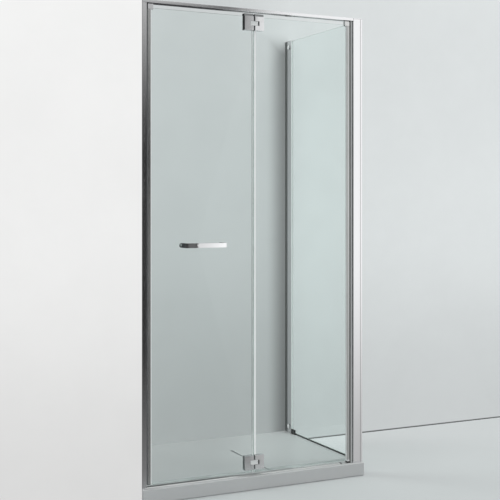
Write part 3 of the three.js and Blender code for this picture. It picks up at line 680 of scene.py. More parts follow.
def turned(profile: Outline, centre: Point, axis: Axis, flats: int = 40) -> bmesh.types.BMesh:
    """A turned body.

    Args:
        profile: [distance along the axis, radius] in millimetres, from one pole to the other.
        centre: the place of the axis's zero, in metres.
        axis: the direction that it is turned about.
        flats: the number of sides.

    Returns:
        The body as an edit mesh.
    """
    side, up = Axis((axis.value + 1) % 3).unit, Axis((axis.value + 2) % 3).unit
    turns = [math.tau * i / flats for i in range(flats)]
    rim = [side * math.cos(turn) + up * math.sin(turn) for turn in turns]
    bm = bmesh.new()
    rings = []
    for distance, radius in profile:
        middle = Vector(centre) + axis.unit * distance * MM
        places = [middle + way * radius * MM for way in rim] if radius > 0 else [middle]
        rings.append([bm.verts.new(place) for place in places])
    for near, far in zip(rings, rings[1:]):
        for i in range(flats):
            j = (i + 1) % flats
            corners = [near[i % len(near)], near[j % len(near)]]
            corners += [far[j % len(far)], far[i % len(far)]]
            bm.faces.new(list(dict.fromkeys(corners)))
    bmesh.ops.recalc_face_normals(bm, faces=bm.faces)
    return bm


@dataclass
class Workshop:
    """Makes pieces, gives them their finish and hangs them on their bodies."""

    looks: dict[Look, bpy.types.Material]
    made: list[bpy.types.Object] = field(default_factory=list)
    glass_ease: float = 0.7

    @classmethod
    def build(cls) -> "Workshop":
        """Builds all finishes."""
        effects = SharedEffects.build()
        return cls({look: look.value.build(effects) for look in Look})

    def hang(
        self, obj: bpy.types.Object, look: Look, body: Body, replaced: Iterable[str] = ()
    ) -> bpy.types.Object:
        """Finishes a piece and hangs it on its body.

        Args:
            obj: the piece, with its place in its mesh.
            look: its finish.
            body: the body that it rides on.
            replaced: the solids that it stands for.

        Returns:
            The same piece.
        """
        if not obj.data.materials:
            obj.data.materials.append(self.looks[look])
        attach(obj, body.value)
        nodes = list(replaced)
        if nodes:
            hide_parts(*nodes)
        self.made.append(obj)
        log.info("%s: %d faces on %s", obj.name, len(obj.data.polygons), body.value)
        return obj

    def stand_in(
        self, node: str, bm: bmesh.types.BMesh, look: Look, body: Body, width: float, steps: int = 2
    ) -> bpy.types.Object:
        """Makes a solid's piece from an edit mesh, its edges rounded by so many millimetres."""
        obj = eased(shaped(f"{node}_piece", bm), width, steps)
        return self.hang(obj, look, body, [node])

    def dress(
        self, node: str, look: Look, body: Body, width: float, steps: int = 2
    ) -> bpy.types.Object:
        """Makes the piece for a solid whose shape is right: the same shape with eased edges."""
        return self.stand_in(node, merged_copy(node), look, body, width, steps)

    def dress_all(self, look: Look, body: Body, width: float, *nodes: str) -> None:
        """Dresses several solids alike."""
        for node in nodes:
            self.dress(node, look, body, width)

    def accent(self, obj: bpy.types.Object, look: Look, chosen: Callable) -> None:
        """Gives some faces of a finished piece another look.

        Args:
            obj: the piece.
            look: the other look.
            chosen: the test, called with each face.
        """
        obj.data.materials.append(self.looks[look])
        last = len(obj.data.materials) - 1
        for polygon in obj.data.polygons:
            if chosen(polygon):
                polygon.material_index = last

    def bars(
        self, name: str, boxes: Sequence[tuple[Point, Point]], width: float
    ) -> bpy.types.Object:
        """Plain bars with eased edges, made as one piece.

        Args:
            name: the piece's name.
            boxes: two opposite corners of each bar, in metres.
            width: the edges' rounding in millimetres.

        Returns:
            The piece.
        """
        bm = bmesh.new()
        for low, high in boxes:
            size = Vector(high) - Vector(low)
            middle = (Vector(high) + Vector(low)) / 2
            place = Matrix.Translation(middle) @ Matrix.Diagonal((*size, 1.0))
            bmesh.ops.create_cube(bm, size=1.0, matrix=place)
        return eased(shaped(name, bm), width)

    def pane(self, node: str, body: Body, thin: Axis) -> bpy.types.Object:
        """Makes a glass pane with eased, ground edges.

        Args:
            node: the solid's name.
            body: the body.
            thin: the direction of the glass's thickness.

        Returns:
            The piece.
        """
        obj = self.dress(node, Look.GLASS, body, self.glass_ease)
        self.accent(obj, Look.GLASS_EDGE, lambda face: abs(face.normal[thin.value]) <= SQUARE)
        return obj


# Screws, which repeat


def screw_tree(
    material: bpy.types.Material, flats: int = 28, crown: float = 0.86
) -> bpy.types.GeometryNodeTree:
    """Builds the node tree that sets a screw with a hexagonal socket on each point of a mesh.

    Args:
        material: the screws' material.
        flats: the number of a head's sides.
        crown: the radius of its top, as a part of the head's.

    Returns:
        The node tree, with inputs for the sizes and the turn of the screws' axis.
    """
    tree = bpy.data.node_groups.new("screw_row", "GeometryNodeTree")
    add = tree.interface.new_socket
    add("Geometry", in_out="INPUT", socket_type="NodeSocketGeometry")
    for label in ("Head radius", "Head height", "Socket radius", "Socket depth"):
        add(label, in_out="INPUT", socket_type="NodeSocketFloat")
    add("Turn", in_out="INPUT", socket_type="NodeSocketRotation")
    add("Geometry", in_out="OUTPUT", socket_type="NodeSocketGeometry")
    wires = Wiring(tree)
    fill = wires.fill
    given = wires.node("NodeGroupInput").outputs
    done = wires.node("NodeGroupOutput")
    radius, height = given["Head radius"], given["Head height"]
    head = wires.node("GeometryNodeMeshCone", fill_type="NGON")
    top = wires.math("MULTIPLY", radius, crown)
    fill(head, Vertices=flats, Radius_Top=top, Radius_Bottom=radius, Depth=height)
    socket = wires.node("GeometryNodeMeshCylinder", fill_type="NGON")
    double = wires.math("MULTIPLY", given["Socket depth"], 2.0)
    fill(socket, Vertices=6, Radius=given["Socket radius"], Depth=double)
    lift = fill(wires.node("ShaderNodeCombineXYZ"), Z=height).outputs["Vector"]
    raised = wires.node("GeometryNodeTransform")
    fill(raised, Geometry=socket.outputs["Mesh"], Translation=lift)
    drilled = wires.node("GeometryNodeMeshBoolean", operation="DIFFERENCE")
    fill(drilled, Mesh_1=head.outputs["Mesh"], Mesh_2=raised.outputs["Geometry"])
    points = fill(wires.node("GeometryNodeMeshToPoints"), Mesh=given["Geometry"])
    placed = wires.node("GeometryNodeInstanceOnPoints")
    fill(placed, Points=points.outputs["Points"], Instance=drilled.outputs["Mesh"])
    fill(placed, Rotation=given["Turn"])
    whole = fill(wires.node("GeometryNodeRealizeInstances"), Geometry=placed.outputs["Instances"])
    painted = wires.node("GeometryNodeSetMaterial")
    fill(painted, Geometry=whole.outputs["Geometry"], Material=material)
    fill(done, Geometry=painted.outputs["Geometry"])
    return tree


@dataclass(frozen=True)
class ScrewPattern:
    """Sets screws on points by their node tree, with one set of sizes in millimetres."""

    tree: bpy.types.GeometryNodeTree
    head_radius: float = 4.2
    head_height: float = 1.6
    socket_radius: float = 1.9
    socket_depth: float = 1.1

    def place(self, name: str, points: Sequence[Point], turn: Point) -> bpy.types.Object:
        """Sets a screw on each point and makes them one plain mesh.

        Args:
            name: the piece's name.
            points: the middles of the heads' undersides, in metres.
            turn: how +Z, along which a screw's head rises, is turned, as Euler angles.

        Returns:
            The piece.
        """
        mesh = bpy.data.meshes.new(name)
        mesh.from_pydata([tuple(p) for p in points], [], [])
        obj = new_object(name, mesh)
        modifier = obj.modifiers.new("screws", "NODES")
        modifier.node_group = self.tree
        values = {
            "Head radius": self.head_radius * MM,
            "Head height": self.head_height * MM,
            "Socket radius": self.socket_radius * MM,
            "Socket depth": self.socket_depth * MM,
            "Turn": turn,
        }
        for item in self.tree.interface.items_tree:
            if item.in_out == "INPUT" and item.name in values:
                modifier[item.identifier] = values[item.name]
        settled(obj)
        weld = 0.000001
        bm = bmesh.new()
        bm.from_mesh(obj.data)
        bmesh.ops.remove_doubles(bm, verts=bm.verts, dist=weld)
        bmesh.ops.recalc_face_normals(bm, faces=bm.faces)
        bm.to_mesh(obj.data)
        bm.free()
        return obj


# Sub-assemblies, with sizes in millimetres


@dataclass
class Tray:
    """The low tray with its recess, slot drain and outlet."""

    shop: Workshop
    rim_round: float = 6.0
    foot_round: float = 8.0
    slot_round: float = 0.8
    slot_angle: float = 34.0
    outline_reach: float = 8.0
    level_play: float = 0.5
    flat_angle: float = 1.0
    least_angle: float = 25.0

    def build(self) -> None:
        """Builds the tray and what lies in it."""
        self.shell()
        self.shop.dress("drain_insert", Look.STEEL_ALONG, Body.FRAME, 0.8, 3)
        self.shop.dress("drain_outlet", Look.BLACK, Body.FRAME, 0.4)

    def shell(self) -> bpy.types.Object:
        """The tray's body, with soft edges at the rim and in the recess."""
        bm = merged_copy("shower_tray", self.flat_angle)
        low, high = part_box("shower_tray")
        play, reach = self.level_play * MM, self.outline_reach * MM

        def on_rim(a: Vector, b: Vector) -> bool:
            return max(a.z, b.z) > high.z - play

        def on_foot(a: Vector, b: Vector) -> bool:
            outer = all(
                min(p.x - low.x, high.x - p.x) < reach or min(p.y - low.y, high.y - p.y) < reach
                for p in (a, b)
            )
            return outer and max(a.z, b.z) < low.z + play

        self.round_edges(bm, on_rim, self.rim_round, 4)
        self.round_edges(bm, on_foot, self.foot_round, 3)
        obj = eased(shaped("shower_tray_piece", bm), self.slot_round, 2, self.slot_angle)
        return self.shop.hang(obj, Look.TRAY, Body.FRAME, ["shower_tray"])

    def round_edges(
        self, bm: bmesh.types.BMesh, chosen: Callable, width: float, steps: int
    ) -> None:
        """Rounds the sharp level edges whose two ends pass a test.

        Args:
            bm: the mesh.
            chosen: the test, called with the two ends' places.
            width: the rounding in millimetres.
            steps: its steps.
        """
        least = math.radians(self.least_angle)
        edges = []
        for edge in bm.edges:
            a, b = (vert.co for vert in edge.verts)
            sharp = edge.is_manifold and edge.calc_face_angle(0.0) > least
            if sharp and chosen(a, b) and abs(a.z - b.z) < self.level_play * MM:
                edges.append(edge)
        bmesh.ops.bevel(
            bm,
            geom=edges,
            offset=width * MM,
            offset_type="OFFSET",
            segments=steps,
            profile=0.5,
            affect="EDGES",
            clamp_overlap=True,
        )


@dataclass
class LeftJamb:
    """The profiles along the left wall, against which the door closes."""

    shop: Workshop
    shank_radius: float = 1.9
    shank_end: float = 1.0
    head_radius: float = 4.0
    head_height: float = 2.5
    shoulder: tuple[float, float] = (0.5, 0.3)
    crown_radius: float = 2.4
    socket_radius: float = 1.5
    socket_depth: float = 0.9
    taper: float = 0.1

    def build(self) -> None:
        """Builds the profiles, the magnet strip and the two fixing screws."""
        shop = self.shop
        profiles = ("left_wall_profile", "left_jamb_profile")
        shop.dress_all(Look.PROFILE_UPRIGHT, Body.FRAME, 0.4, *profiles)
        shop.dress("left_magnet_strip", Look.GREY_SEAL, Body.FRAME, 0.6, 3)
        for level in ("lower", "upper"):
            self.jamb_screw(f"jamb_screw_{level}")

    def jamb_screw(self, node: str) -> bpy.types.Object:
        """A screw with a round head and a socket, over the whole length of its solid."""
        low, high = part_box(node)
        top = (high.y - low.y) / MM
        under = top - self.head_height + self.shank_end
        floor = top - self.socket_depth
        drop, inset = self.shoulder
        profile = [
            (0.0, 0.0),
            (0.0, self.shank_radius),
            (under, self.shank_radius),
            (under, self.head_radius),
            (top - drop, self.head_radius - inset),
            (top, self.crown_radius),
            (top, self.socket_radius),
            (floor, self.socket_radius - self.taper),
            (floor, 0.0),
        ]
        centre = ((low.x + high.x) / 2, low.y, (low.z + high.z) / 2)
        body = turned(profile, centre, Axis.Y, 24)
        return self.shop.stand_in(node, body, Look.STEEL_UPRIGHT, Body.FRAME, 0.15, 1)


@dataclass
class Corner:
    """The corner post, the jamb beside it and the fixed ends of the door's pivot axis."""

    shop: Workshop
    groove_depths: tuple[float, float] = (0.5, 1.0)
    groove_sides: tuple[float, float] = (13.0, 9.0)
    lip_width: float = 3.3
    lip_inset: float = 1.9
    lip_seat: float = 0.1
    lip_thickness: float = 1.2

    def build(self) -> None:
        """Builds the corner's pieces."""
        shop = self.shop
        self.post()
        # Painted shade: the right jamb beside the post takes the dark copy of the aluminium.
        shop.dress("right_jamb_profile", Look.PROFILE_SHADED, Body.FRAME, 0.35)
        self.jamb_lip()
        shop.dress("post_top_cap", Look.PROFILE_UPRIGHT, Body.FRAME, 0.6, 3)
        shop.dress("right_jamb_seal", Look.GREY_SEAL, Body.FRAME, 0.6)
        shop.dress("upper_pivot_stud", Look.STEEL_UPRIGHT, Body.FRAME, 0.5)
        shop.dress("lower_pivot_foot", Look.BLACK, Body.FRAME, 0.8)

    def post(self) -> bpy.types.Object:
        """The post, with painted shade on the floor of the groove in its front."""
        obj = self.shop.dress("corner_post", Look.PROFILE_UPRIGHT, Body.FRAME, 0.35)
        low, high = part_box("corner_post")
        front, floor = (low.y + depth * MM for depth in self.groove_depths)
        left, right = (high.x - side * MM for side in self.groove_sides)

        def in_groove(face: bpy.types.MeshPolygon) -> bool:
            return front < face.center.y < floor and left < face.center.x < right

        self.shop.accent(obj, Look.PROFILE_SHADED, in_groove)
        return obj

    def jamb_lip(self) -> bpy.types.Object:
        """The milky lip along the right jamb's front, beside the door."""
        low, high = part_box("right_jamb_profile")
        far = low.y - self.lip_seat * MM
        near = far - self.lip_thickness * MM
        start = low.x + self.lip_inset * MM
        bar = ((start, near, low.z), (start + self.lip_width * MM, far, high.z))
        obj = self.shop.bars("right_jamb_lip", [bar], 0.3)
        return self.shop.hang(obj, Look.WHITE_SEAL, Body.FRAME)


@dataclass
class SidePanel:
    """The fixed side glass with its profiles, gaskets and cover caps."""

    shop: Workshop
    cap_crown: float = 2.4
    cap_height: float = 5.0
    cap_edge: float = 0.4
    cap_steps: int = 7
    shank_radius: float = 2.0
    side_lean: float = 0.45

    def build(self) -> None:
        """Builds the side panel's pieces."""
        shop = self.shop
        shop.pane("side_glass", Body.FRAME, Axis.X)
        profiles = ("side_front_profile", "side_sleeve_profile", "side_top_cap")
        shop.dress_all(Look.PROFILE_UPRIGHT, Body.FRAME, 0.35, *profiles)
        # Painted shade: the wall profile by the back wall takes the dark copy of the aluminium.
        shop.dress("side_wall_profile", Look.PROFILE_SHADED, Body.FRAME, 0.35)
        shop.dress_all(Look.WHITE_SEAL, Body.FRAME, 0.3, "side_front_gasket", "side_back_gasket")
        shop.dress("side_bottom_seal", Look.BLACK, Body.FRAME, 0.4)
        for level in ("lower", "upper"):
            self.cover_cap(f"side_screw_{level}")

    def cover_cap(self, node: str) -> bpy.types.Object:
        """A round, crowned cover cap over a fixing screw, and the screw's shank behind it."""
        low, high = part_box(node)
        reach = (high.x - low.x) / MM
        radius = (high.z - low.z) / 2 / MM
        turns = [math.pi / 2 * i / self.cap_steps for i in range(self.cap_steps + 1)]
        crown = [(self.cap_crown * (1 - math.cos(t)), radius * math.sin(t)) for t in turns]
        height, edge, shank = self.cap_height, self.cap_edge, self.shank_radius
        back = [(height - edge, radius), (height, radius - edge), (height, shank)]
        profile = [*crown, *back, (reach, shank), (reach, 0.0)]
        centre = (low.x, (low.y + high.y) / 2, (low.z + high.z) / 2)
        body = turned(profile, centre, Axis.X)
        obj = self.shop.stand_in(node, body, Look.COVER_CAP, Body.FRAME, 0.0)
        # Painted shade on the cap's sides, round its pale crown.
        self.shop.accent(obj, Look.HOOK, lambda face: abs(face.normal.x) < self.side_lean)
        return obj


@dataclass
class DoorPanel:
    """One of the door's two glass panels, with its edge profile, brackets, hinges and seals."""

    shop: Workshop
    screws: ScrewPattern
    body: Body
    owner: str
    bracket: str
    foot: str
    foot_look: Look
    edge_look: Look
    bracket_look: Look
    bracket_side_painted_light: Look
    bead_width: float
    bead_thickness: float = 0.5
    bead_seat: float = 0.1
    hook_rise: float = 0.4
    screw_spacing: float = 17.0
    screw_seat: float = 0.4

    def build(self) -> None:
        """Builds the panel's pieces."""
        shop, body, owner = self.shop, self.body, self.owner
        shop.pane(f"{owner}_glass", body, Axis.Y)
        shop.dress(f"{owner}_edge_profile", self.edge_look, body, 0.5, 3)
        self.beads()
        bracket = shop.dress(self.bracket, self.bracket_look, body, 0.7, 3)
        # The brackets' left faces take another look: painted light on the pivot bracket, painted
        # shade on the guide bracket.
        shop.accent(bracket, self.bracket_side_painted_light, lambda face: face.normal.x < -FACING)
        shop.dress(self.foot, self.foot_look, body, 0.5)
        shop.dress(f"{owner}_drip_seal", Look.CLEAR_SEAL, body, 0.3)
        hook_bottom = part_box(f"{owner}_glass")[1].z + self.hook_rise * MM

        # Painted shade on the blocks' hooks, under the rail, and on their sides.
        def in_painted_shade(face: bpy.types.MeshPolygon) -> bool:
            return face.center.z > hook_bottom or abs(face.normal.x) > FACING

        for level in ("upper", "lower"):
            block = shop.dress(f"{level}_hinge_block_{owner}", Look.CHROME, body, 0.5, 3)
            shop.accent(block, Look.HOOK, in_painted_shade)
            shop.dress(f"{level}_hinge_plate_{owner}", Look.CHROME, body, 0.8, 3)
            shop.dress(f"{level}_hinge_pin_{owner}", Look.STEEL_UPRIGHT, body, 0.3)
        self.plate_screws()

    def beads(self) -> bpy.types.Object:
        """The thin beads that close the edge profile against both faces of the glass."""
        profile_low, profile_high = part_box(f"{self.owner}_edge_profile")
        low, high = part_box(f"{self.owner}_glass")
        at_left = profile_low.x < (low.x + high.x) / 2
        seat, width, thickness = (
            size * MM for size in (self.bead_seat, self.bead_width, self.bead_thickness)
        )
        start = profile_high.x + seat if at_left else profile_low.x - seat - width
        fronts = (low.y - seat - thickness, high.y + seat)
        bars = [
            ((start, front, low.z), (start + width, front + thickness, profile_high.z))
            for front in fronts
        ]
        obj = self.shop.bars(f"{self.owner}_glazing_beads", bars, 0.15)
        return self.shop.hang(obj, Look.WHITE_SEAL, self.body)

    def plate_screws(self) -> bpy.types.Object:
        """The screws that draw the hinge plates to the blocks through the glass."""
        inwards = (-math.pi / 2, 0.0, 0.0)
        points = []
        for level in ("upper", "lower"):
            low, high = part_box(f"{level}_hinge_plate_{self.owner}")
            x, y = (low.x + high.x) / 2, high.y + self.screw_seat * MM
            z, spacing = (low.z + high.z) / 2, self.screw_spacing * MM
            points += [(x, y, z - spacing), (x, y, z + spacing)]
        obj = self.screws.place(f"{self.owner}_plate_screws", points, inwards)
        return self.shop.hang(eased(obj, 0.0), Look.STEEL_UPRIGHT, self.body)


def fold_seal(shop: Workshop, clear_reach: float = 0.9) -> bpy.types.Object:
    """The seal on the pivot panel's fold edge: milky where it grips the glass, else clear.

    Args:
        shop: the workshop.
        clear_reach: how far the clear part covers the glass, in millimetres.

    Returns:
        The piece.
    """
    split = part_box("pivot_glass")[0].x + clear_reach * MM
    bm = merged_copy("fold_seal")
    parts = [*bm.verts, *bm.edges, *bm.faces]
    bmesh.ops.bisect_plane(bm, geom=parts, plane_co=(split, 0, 0), plane_no=(1, 0, 0))
    obj = shop.stand_in("fold_seal", bm, Look.WHITE_SEAL, Body.PIVOT, 0.2)
    shop.accent(obj, Look.CLEAR_SEAL, lambda face: face.center.x < split)
    return obj


def handle(shop: Workshop) -> None:
    """The flat bar handle with its washers outside and round caps inside."""
    shop.dress("handle_bar", Look.BRIGHT_CHROME, Body.LEADING, 1.2, 4)
    for side in ("left", "right"):
        shop.dress(f"handle_washer_{side}", Look.CLEAR_SEAL, Body.LEADING, 0.3)
        shop.dress(f"handle_cap_{side}", Look.CHROME, Body.LEADING, 1.2, 4)


# The set


@dataclass(frozen=True)
class WallTones:
    """The painted shade of a wall, as ramps over metres across (X) or up (Z)."""

    clouds: tuple[float, float] = (1.0, 0.975)
    # Painted shade: darker low down, and darker or lighter high up.
    low: Ramp = (0.0, 1.1, 0.8, 0.99)
    high_reach: tuple[float, float] = (1.1, 2.2)
    # Painted shadow of the enclosure and its side panel's back profile, in the nook.
    nook_across: Ramp = (0.38, 0.485, 1.0, 0.47)
    nook_up: Ramp = (0.3, 1.9, 0.79, 0.89)
    beside_nook: Ramp = (0.495, 0.505, 0.0, 1.0)
    over_nook: Ramp = (1.8, 2.0, 0.0, 1.0)
    over_nook_across: Ramp = (0.0, 0.6, 0.85, 1.0)
    # Painted shade where the wall meets the floor.
    floor_corner_shade: Ramp = (0.004, 0.009, 0.2, 1.0)
    # Mirrors see the painted shade no darker than this, and the wall's left part as a painted dark
    # reflection.
    mirrored_least: float = 0.68
    painted_dark_reflection: Ramp = (0.1, 0.35, 1.0, 0.0)
    darkest: float = 0.01


@dataclass(frozen=True)
class RoomTones:
    """What mirrors see of the room.

    The ramps run over degrees past the window's near edge, save the last five: over the height of
    the direction, and then over degrees from the front.
    """

    window: Ramp = (-0.05, 0.05, 0.0, 1.0)
    pane: Ramp = (0.0, 2.0, 0.78, 1.1)
    curtain_far: Ramp = (-0.62, -0.52, 0.0, 0.1)
    curtain_near: Ramp = (-0.14, -0.1, 1.0, 0.5)
    bay_far: Ramp = (-5.6, -4.2, 1.0, 0.66)
    bay_near: Ramp = (-3.2, -2.3, 1.0, 0.42)
    corner: Ramp = (-1.7, 0.2, 0.28, 0.85)
    sill: Ramp = (-0.26, -0.03, 0.5, 1.0)
    upper: Ramp = (0.04, 0.28, 0.0, 0.7)
    lower: Ramp = (-0.3, -0.12, 0.2, 0.0)
    left_end: Ramp = (-110.0, -70.0, 0.0, 1.0)
    right_end: Ramp = (70.0, 100.0, 1.0, 0.0)
    base: float = 0.035
    edge: float = 22.96
    lean: float = 15.0
    lean_height: float = 0.04


@dataclass(frozen=True)
class Lamp:
    """A large soft lamp that matt surfaces see and mirrors do not.

    Its turn is from the front to the right and its rise above the horizon, both in degrees.
    """

    name: str
    power: float
    turn: float
    rise: float
    size: float = 1.6
    distance: float = 5.0
    middle: Point = (0.1, 0.1, 1.0)
    colour: Colour = (1.0, 0.995, 0.985)

    def place(self) -> None:
        """Puts the lamp into the scene, facing the middle of the object."""
        data = bpy.data.lights.new(self.name, "AREA")
        data.shape = "DISK"
        data.size = self.size
        data.energy = self.power
        data.color = self.colour
        lamp = bpy.data.objects.new(self.name, data)
        across, up = math.radians(self.turn), math.radians(self.rise)
        level = Vector((math.sin(across), -math.cos(across), 0.0))
        way = level * math.cos(up) + Axis.Z.unit * math.sin(up)
        lamp.location = Vector(self.middle) + way * self.distance
        lamp.rotation_euler = (-way).to_track_quat("-Z", "Y").to_euler()
        lamp.visible_camera = False
        lamp.visible_glossy = False
        lamp.visible_transmission = False
        bpy.context.scene.collection.objects.link(lamp)


@dataclass(frozen=True)
class Studio:
    """Floor, backdrop, lamps and camera."""

    lens: float = 74.38
    shift: float = -0.0918
    camera: Point = (-1.8712, -4.1117, 1.1606)
    heading: float = -25.9
    floor_colour: Colour = (0.58, 0.605, 0.61)
    floor_shade: float = 0.975
    floor_end: Ramp = (6.0, 16.0, 0.0, 1.0)
    mirrored_floor_end: Ramp = (0.2, 0.9, 0.0, 1.0)
    wall_colour: Colour = (0.88, 0.91, 0.915)
    pale_wall_colour: Colour = (1.0, 1.0, 0.995)
    far_colour: Colour = (0.7, 0.725, 0.73)
    dark_reflection_colour: Colour = (0.05, 0.052, 0.054)
    ambient_colour: Colour = (0.985, 1.0, 1.0)
    ambient: float = 0.72
    wall_glow: float = 0.95
    wall: WallTones = WallTones()
    room: RoomTones = RoomTones()
    lamps: tuple[Lamp, ...] = (Lamp("key", 90.0, 70.0, 60.0), Lamp("top", 52.0, -130.0, 62.0))

    def build(self) -> None:
        """Builds the whole set."""
        self.place_camera()
        self.lay_floor()
        self.hang_backdrop()
        self.light_world()
        for lamp in self.lamps:
            lamp.place()
        bpy.context.scene.view_settings.view_transform = "Standard"

    def place_camera(self) -> None:
        """A level camera with a shifted frame, so that uprights stay upright."""
        data = bpy.data.cameras.new("camera")
        data.lens = self.lens
        data.sensor_width = 36.0
        data.shift_y = self.shift
        data.clip_start = 0.05
        data.clip_end = 200.0
        camera = bpy.data.objects.new("camera", data)
        camera.location = self.camera
        camera.rotation_euler = (math.radians(90), 0.0, math.radians(self.heading))
        bpy.context.scene.collection.objects.link(camera)
        bpy.context.scene.camera = camera

    def plane(
        self, name: str, corners: Sequence[Point], material: bpy.types.Material
    ) -> bpy.types.Object:
        """A flat sheet of the set."""
        mesh = bpy.data.meshes.new(name)
        mesh.from_pydata([tuple(c) for c in corners], [], [tuple(range(len(corners)))])
        mesh.materials.append(material)
        obj = new_object(name, mesh)
        return obj

    def lay_floor(self) -> None:
        """A wide pale floor that fades into the background far out, for mirrors sooner."""
        material = bpy.data.materials.new("floor")
        wires = cleared(material)
        place = wires.node("ShaderNodeTexCoord").outputs["Object"]
        length = wires.node("ShaderNodeVectorMath", operation="LENGTH")
        wires.feed(place, length.inputs[0])
        distance = length.outputs["Value"]
        tone = wires.span(wires.noise(place, 1.7, Detail=5.0), *NOISE_RANGE, 0.0, 1.0)
        dark = tuple(c * self.floor_shade for c in self.floor_colour)
        shader = wires.node("ShaderNodeBsdfDiffuse")
        wires.fill(shader, Color=wires.mix(tone, self.floor_colour, dark))
        glow = wires.fill(wires.node("ShaderNodeEmission"), Color=self.far_colour)
        far = wires.span(distance, *self.floor_end)
        fade = wires.blend(far, shader.outputs["BSDF"], glow.outputs["Emission"])
        clear = wires.node("ShaderNodeBsdfTransparent").outputs["BSDF"]
        glossy = wires.node("ShaderNodeLightPath").outputs["Is Glossy Ray"]
        beyond = wires.span(distance, *self.mirrored_floor_end)
        wires.show(wires.blend(wires.math("MULTIPLY", glossy, beyond), fade, clear))
        reach = 20.0
        corners = [(-reach, -reach, 0), (reach, -reach, 0), (reach, reach, 0), (-reach, reach, 0)]
        self.plane("floor", corners, material)

    def wall_shade(
        self,
        wires: Wiring,
        x: Socket,
        z: Socket,
        mirrored: Socket,
        top: tuple[float, float],
        open_wall: float,
    ) -> Socket:
        """The painted shade of a wall: darker low down, high up, at the floor and in the nook.

        Args:
            wires: the material's wiring.
            x: the place across.
            z: the place up.
            mirrored: 1 for what a mirror shows.
            top: the wall's painted shade at breast height and at the top.
            open_wall: 1 for a wall outside the enclosure, 0 for one that it shades.

        Returns:
            The shade's socket.
        """
        tones = self.wall
        low = wires.span(z, *tones.low)
        high = wires.span(z, *tones.high_reach, *top)
        nook_across, nook_up = wires.span(x, *tones.nook_across), wires.span(z, *tones.nook_up)
        nook = wires.math("MULTIPLY", nook_across, nook_up)
        beside = wires.span(x, *tones.beside_nook)
        over_up, over_across = (
            wires.span(z, *tones.over_nook),
            wires.span(x, *tones.over_nook_across),
        )
        over = wires.math("MULTIPLY", over_up, over_across)
        least = wires.math("MULTIPLY", mirrored, tones.mirrored_least)
        nook = wires.chain("MAXIMUM", nook, beside, over, open_wall, least)
        return wires.chain("MULTIPLY", low, high, nook, wires.span(z, *tones.floor_corner_shade))

    def wall_material(
        self, name: str, colour: Colour, glow: float, top: tuple[float, float], open_wall: float
    ) -> bpy.types.Material:
        """Pale plaster with painted shade, seen from its front alone.

        Args:
            name: the material's name.
            colour: the plaster's colour.
            glow: how much of that colour the camera and mirrors see whatever light falls on it.
            top: its painted shade at breast height and at the top.
            open_wall: 1 for a wall outside the enclosure, 0 for one that it shades.

        Returns:
            The material.
        """
        material = bpy.data.materials.new(name)
        wires = cleared(material)
        place = wires.node("ShaderNodeTexCoord").outputs["Object"]
        parts = wires.fill(wires.node("ShaderNodeSeparateXYZ"), Vector=place).outputs
        path = wires.node("ShaderNodeLightPath").outputs
        mirrored = wires.math("GREATER_THAN", path["Glossy Depth"], 0.5)
        clouds = wires.noise(place, 3.0, Detail=6.0, Roughness=0.65)
        cloud = wires.span(clouds, *NOISE_RANGE, *self.wall.clouds)
        shade = self.wall_shade(wires, parts["X"], parts["Z"], mirrored, top, open_wall)
        dark = tuple(c * self.wall.darkest for c in colour)
        shaded = wires.mix(wires.math("MULTIPLY", cloud, shade), dark, colour)
        matt = wires.fill(wires.node("ShaderNodeBsdfDiffuse"), Color=shaded)
        own = wires.node("ShaderNodeEmission")
        wires.fill(own, Color=shaded, Strength=self.wall_glow)
        rays = ("Is Camera Ray", "Is Glossy Ray", "Is Transmission Ray")
        seen = wires.chain("MAXIMUM", *(path[ray] for ray in rays))
        share = wires.math("MULTIPLY", seen, glow)
        lit = wires.blend(share, matt.outputs["BSDF"], own.outputs["Emission"])
        # Painted dark reflection: mirrors see the wall's left part in the dark reflection colour.
        gloom = wires.fill(wires.node("ShaderNodeEmission"), Color=self.dark_reflection_colour)
        far_left = wires.span(parts["X"], *self.wall.painted_dark_reflection)
        share = wires.math("MULTIPLY", mirrored, far_left)
        dimmed = wires.blend(share, lit, gloom.outputs["Emission"])
        clear = wires.node("ShaderNodeBsdfTransparent").outputs["BSDF"]
        back = wires.node("ShaderNodeNewGeometry").outputs["Backfacing"]
        wires.show(wires.blend(back, dimmed, clear))
        return material

    def hang_backdrop(self) -> None:
        """The plain wall faces behind and beside the enclosure."""
        plaster = self.wall_material("backdrop", self.wall_colour, 0.5, (1.0, 0.93), 0.0)
        pale = self.wall_material("pale_backdrop", self.pale_wall_colour, 0.9, (0.95, 1.0), 1.0)
        left, back, front = -0.5012, 0.3512, -0.3335
        reach, height = 9.0, 6.0
        walls = {
            "backdrop_behind": (plaster, (left, back), (reach, back)),
            "backdrop_beside": (plaster, (left, front), (left, back)),
            "backdrop_left": (pale, (-reach, front), (left, front)),
        }
        for name, (material, (x1, y1), (x2, y2)) in walls.items():
            corners = [(x1, y1, 0), (x2, y2, 0), (x2, y2, height), (x1, y1, height)]
            obj = self.plane(name, corners, material)
            obj.visible_diffuse = False
            obj.visible_shadow = False

    def mirrored_room(self, wires: Wiring) -> Socket:
        """The colour that mirrors see in each direction: a dim room with a bright window side."""
        room = self.room
        way = wires.node("ShaderNodeTexCoord").outputs["Generated"]
        x, y, z = wires.fill(wires.node("ShaderNodeSeparateXYZ"), Vector=way).outputs
        turn = wires.math("ARCTAN2", x, wires.math("MULTIPLY", y, -1.0))
        degrees = wires.math("MULTIPLY", turn, 180.0 / math.pi)
        off_middle = wires.math("ABSOLUTE", wires.math("ADD", z, room.lean_height))
        slant = wires.math("MULTIPLY_ADD", off_middle, -room.lean, degrees)

        def past(ramp: Ramp) -> Socket:
            start, end, low, high = ramp
            return wires.span(slant, room.edge + start, room.edge + end, low, high)

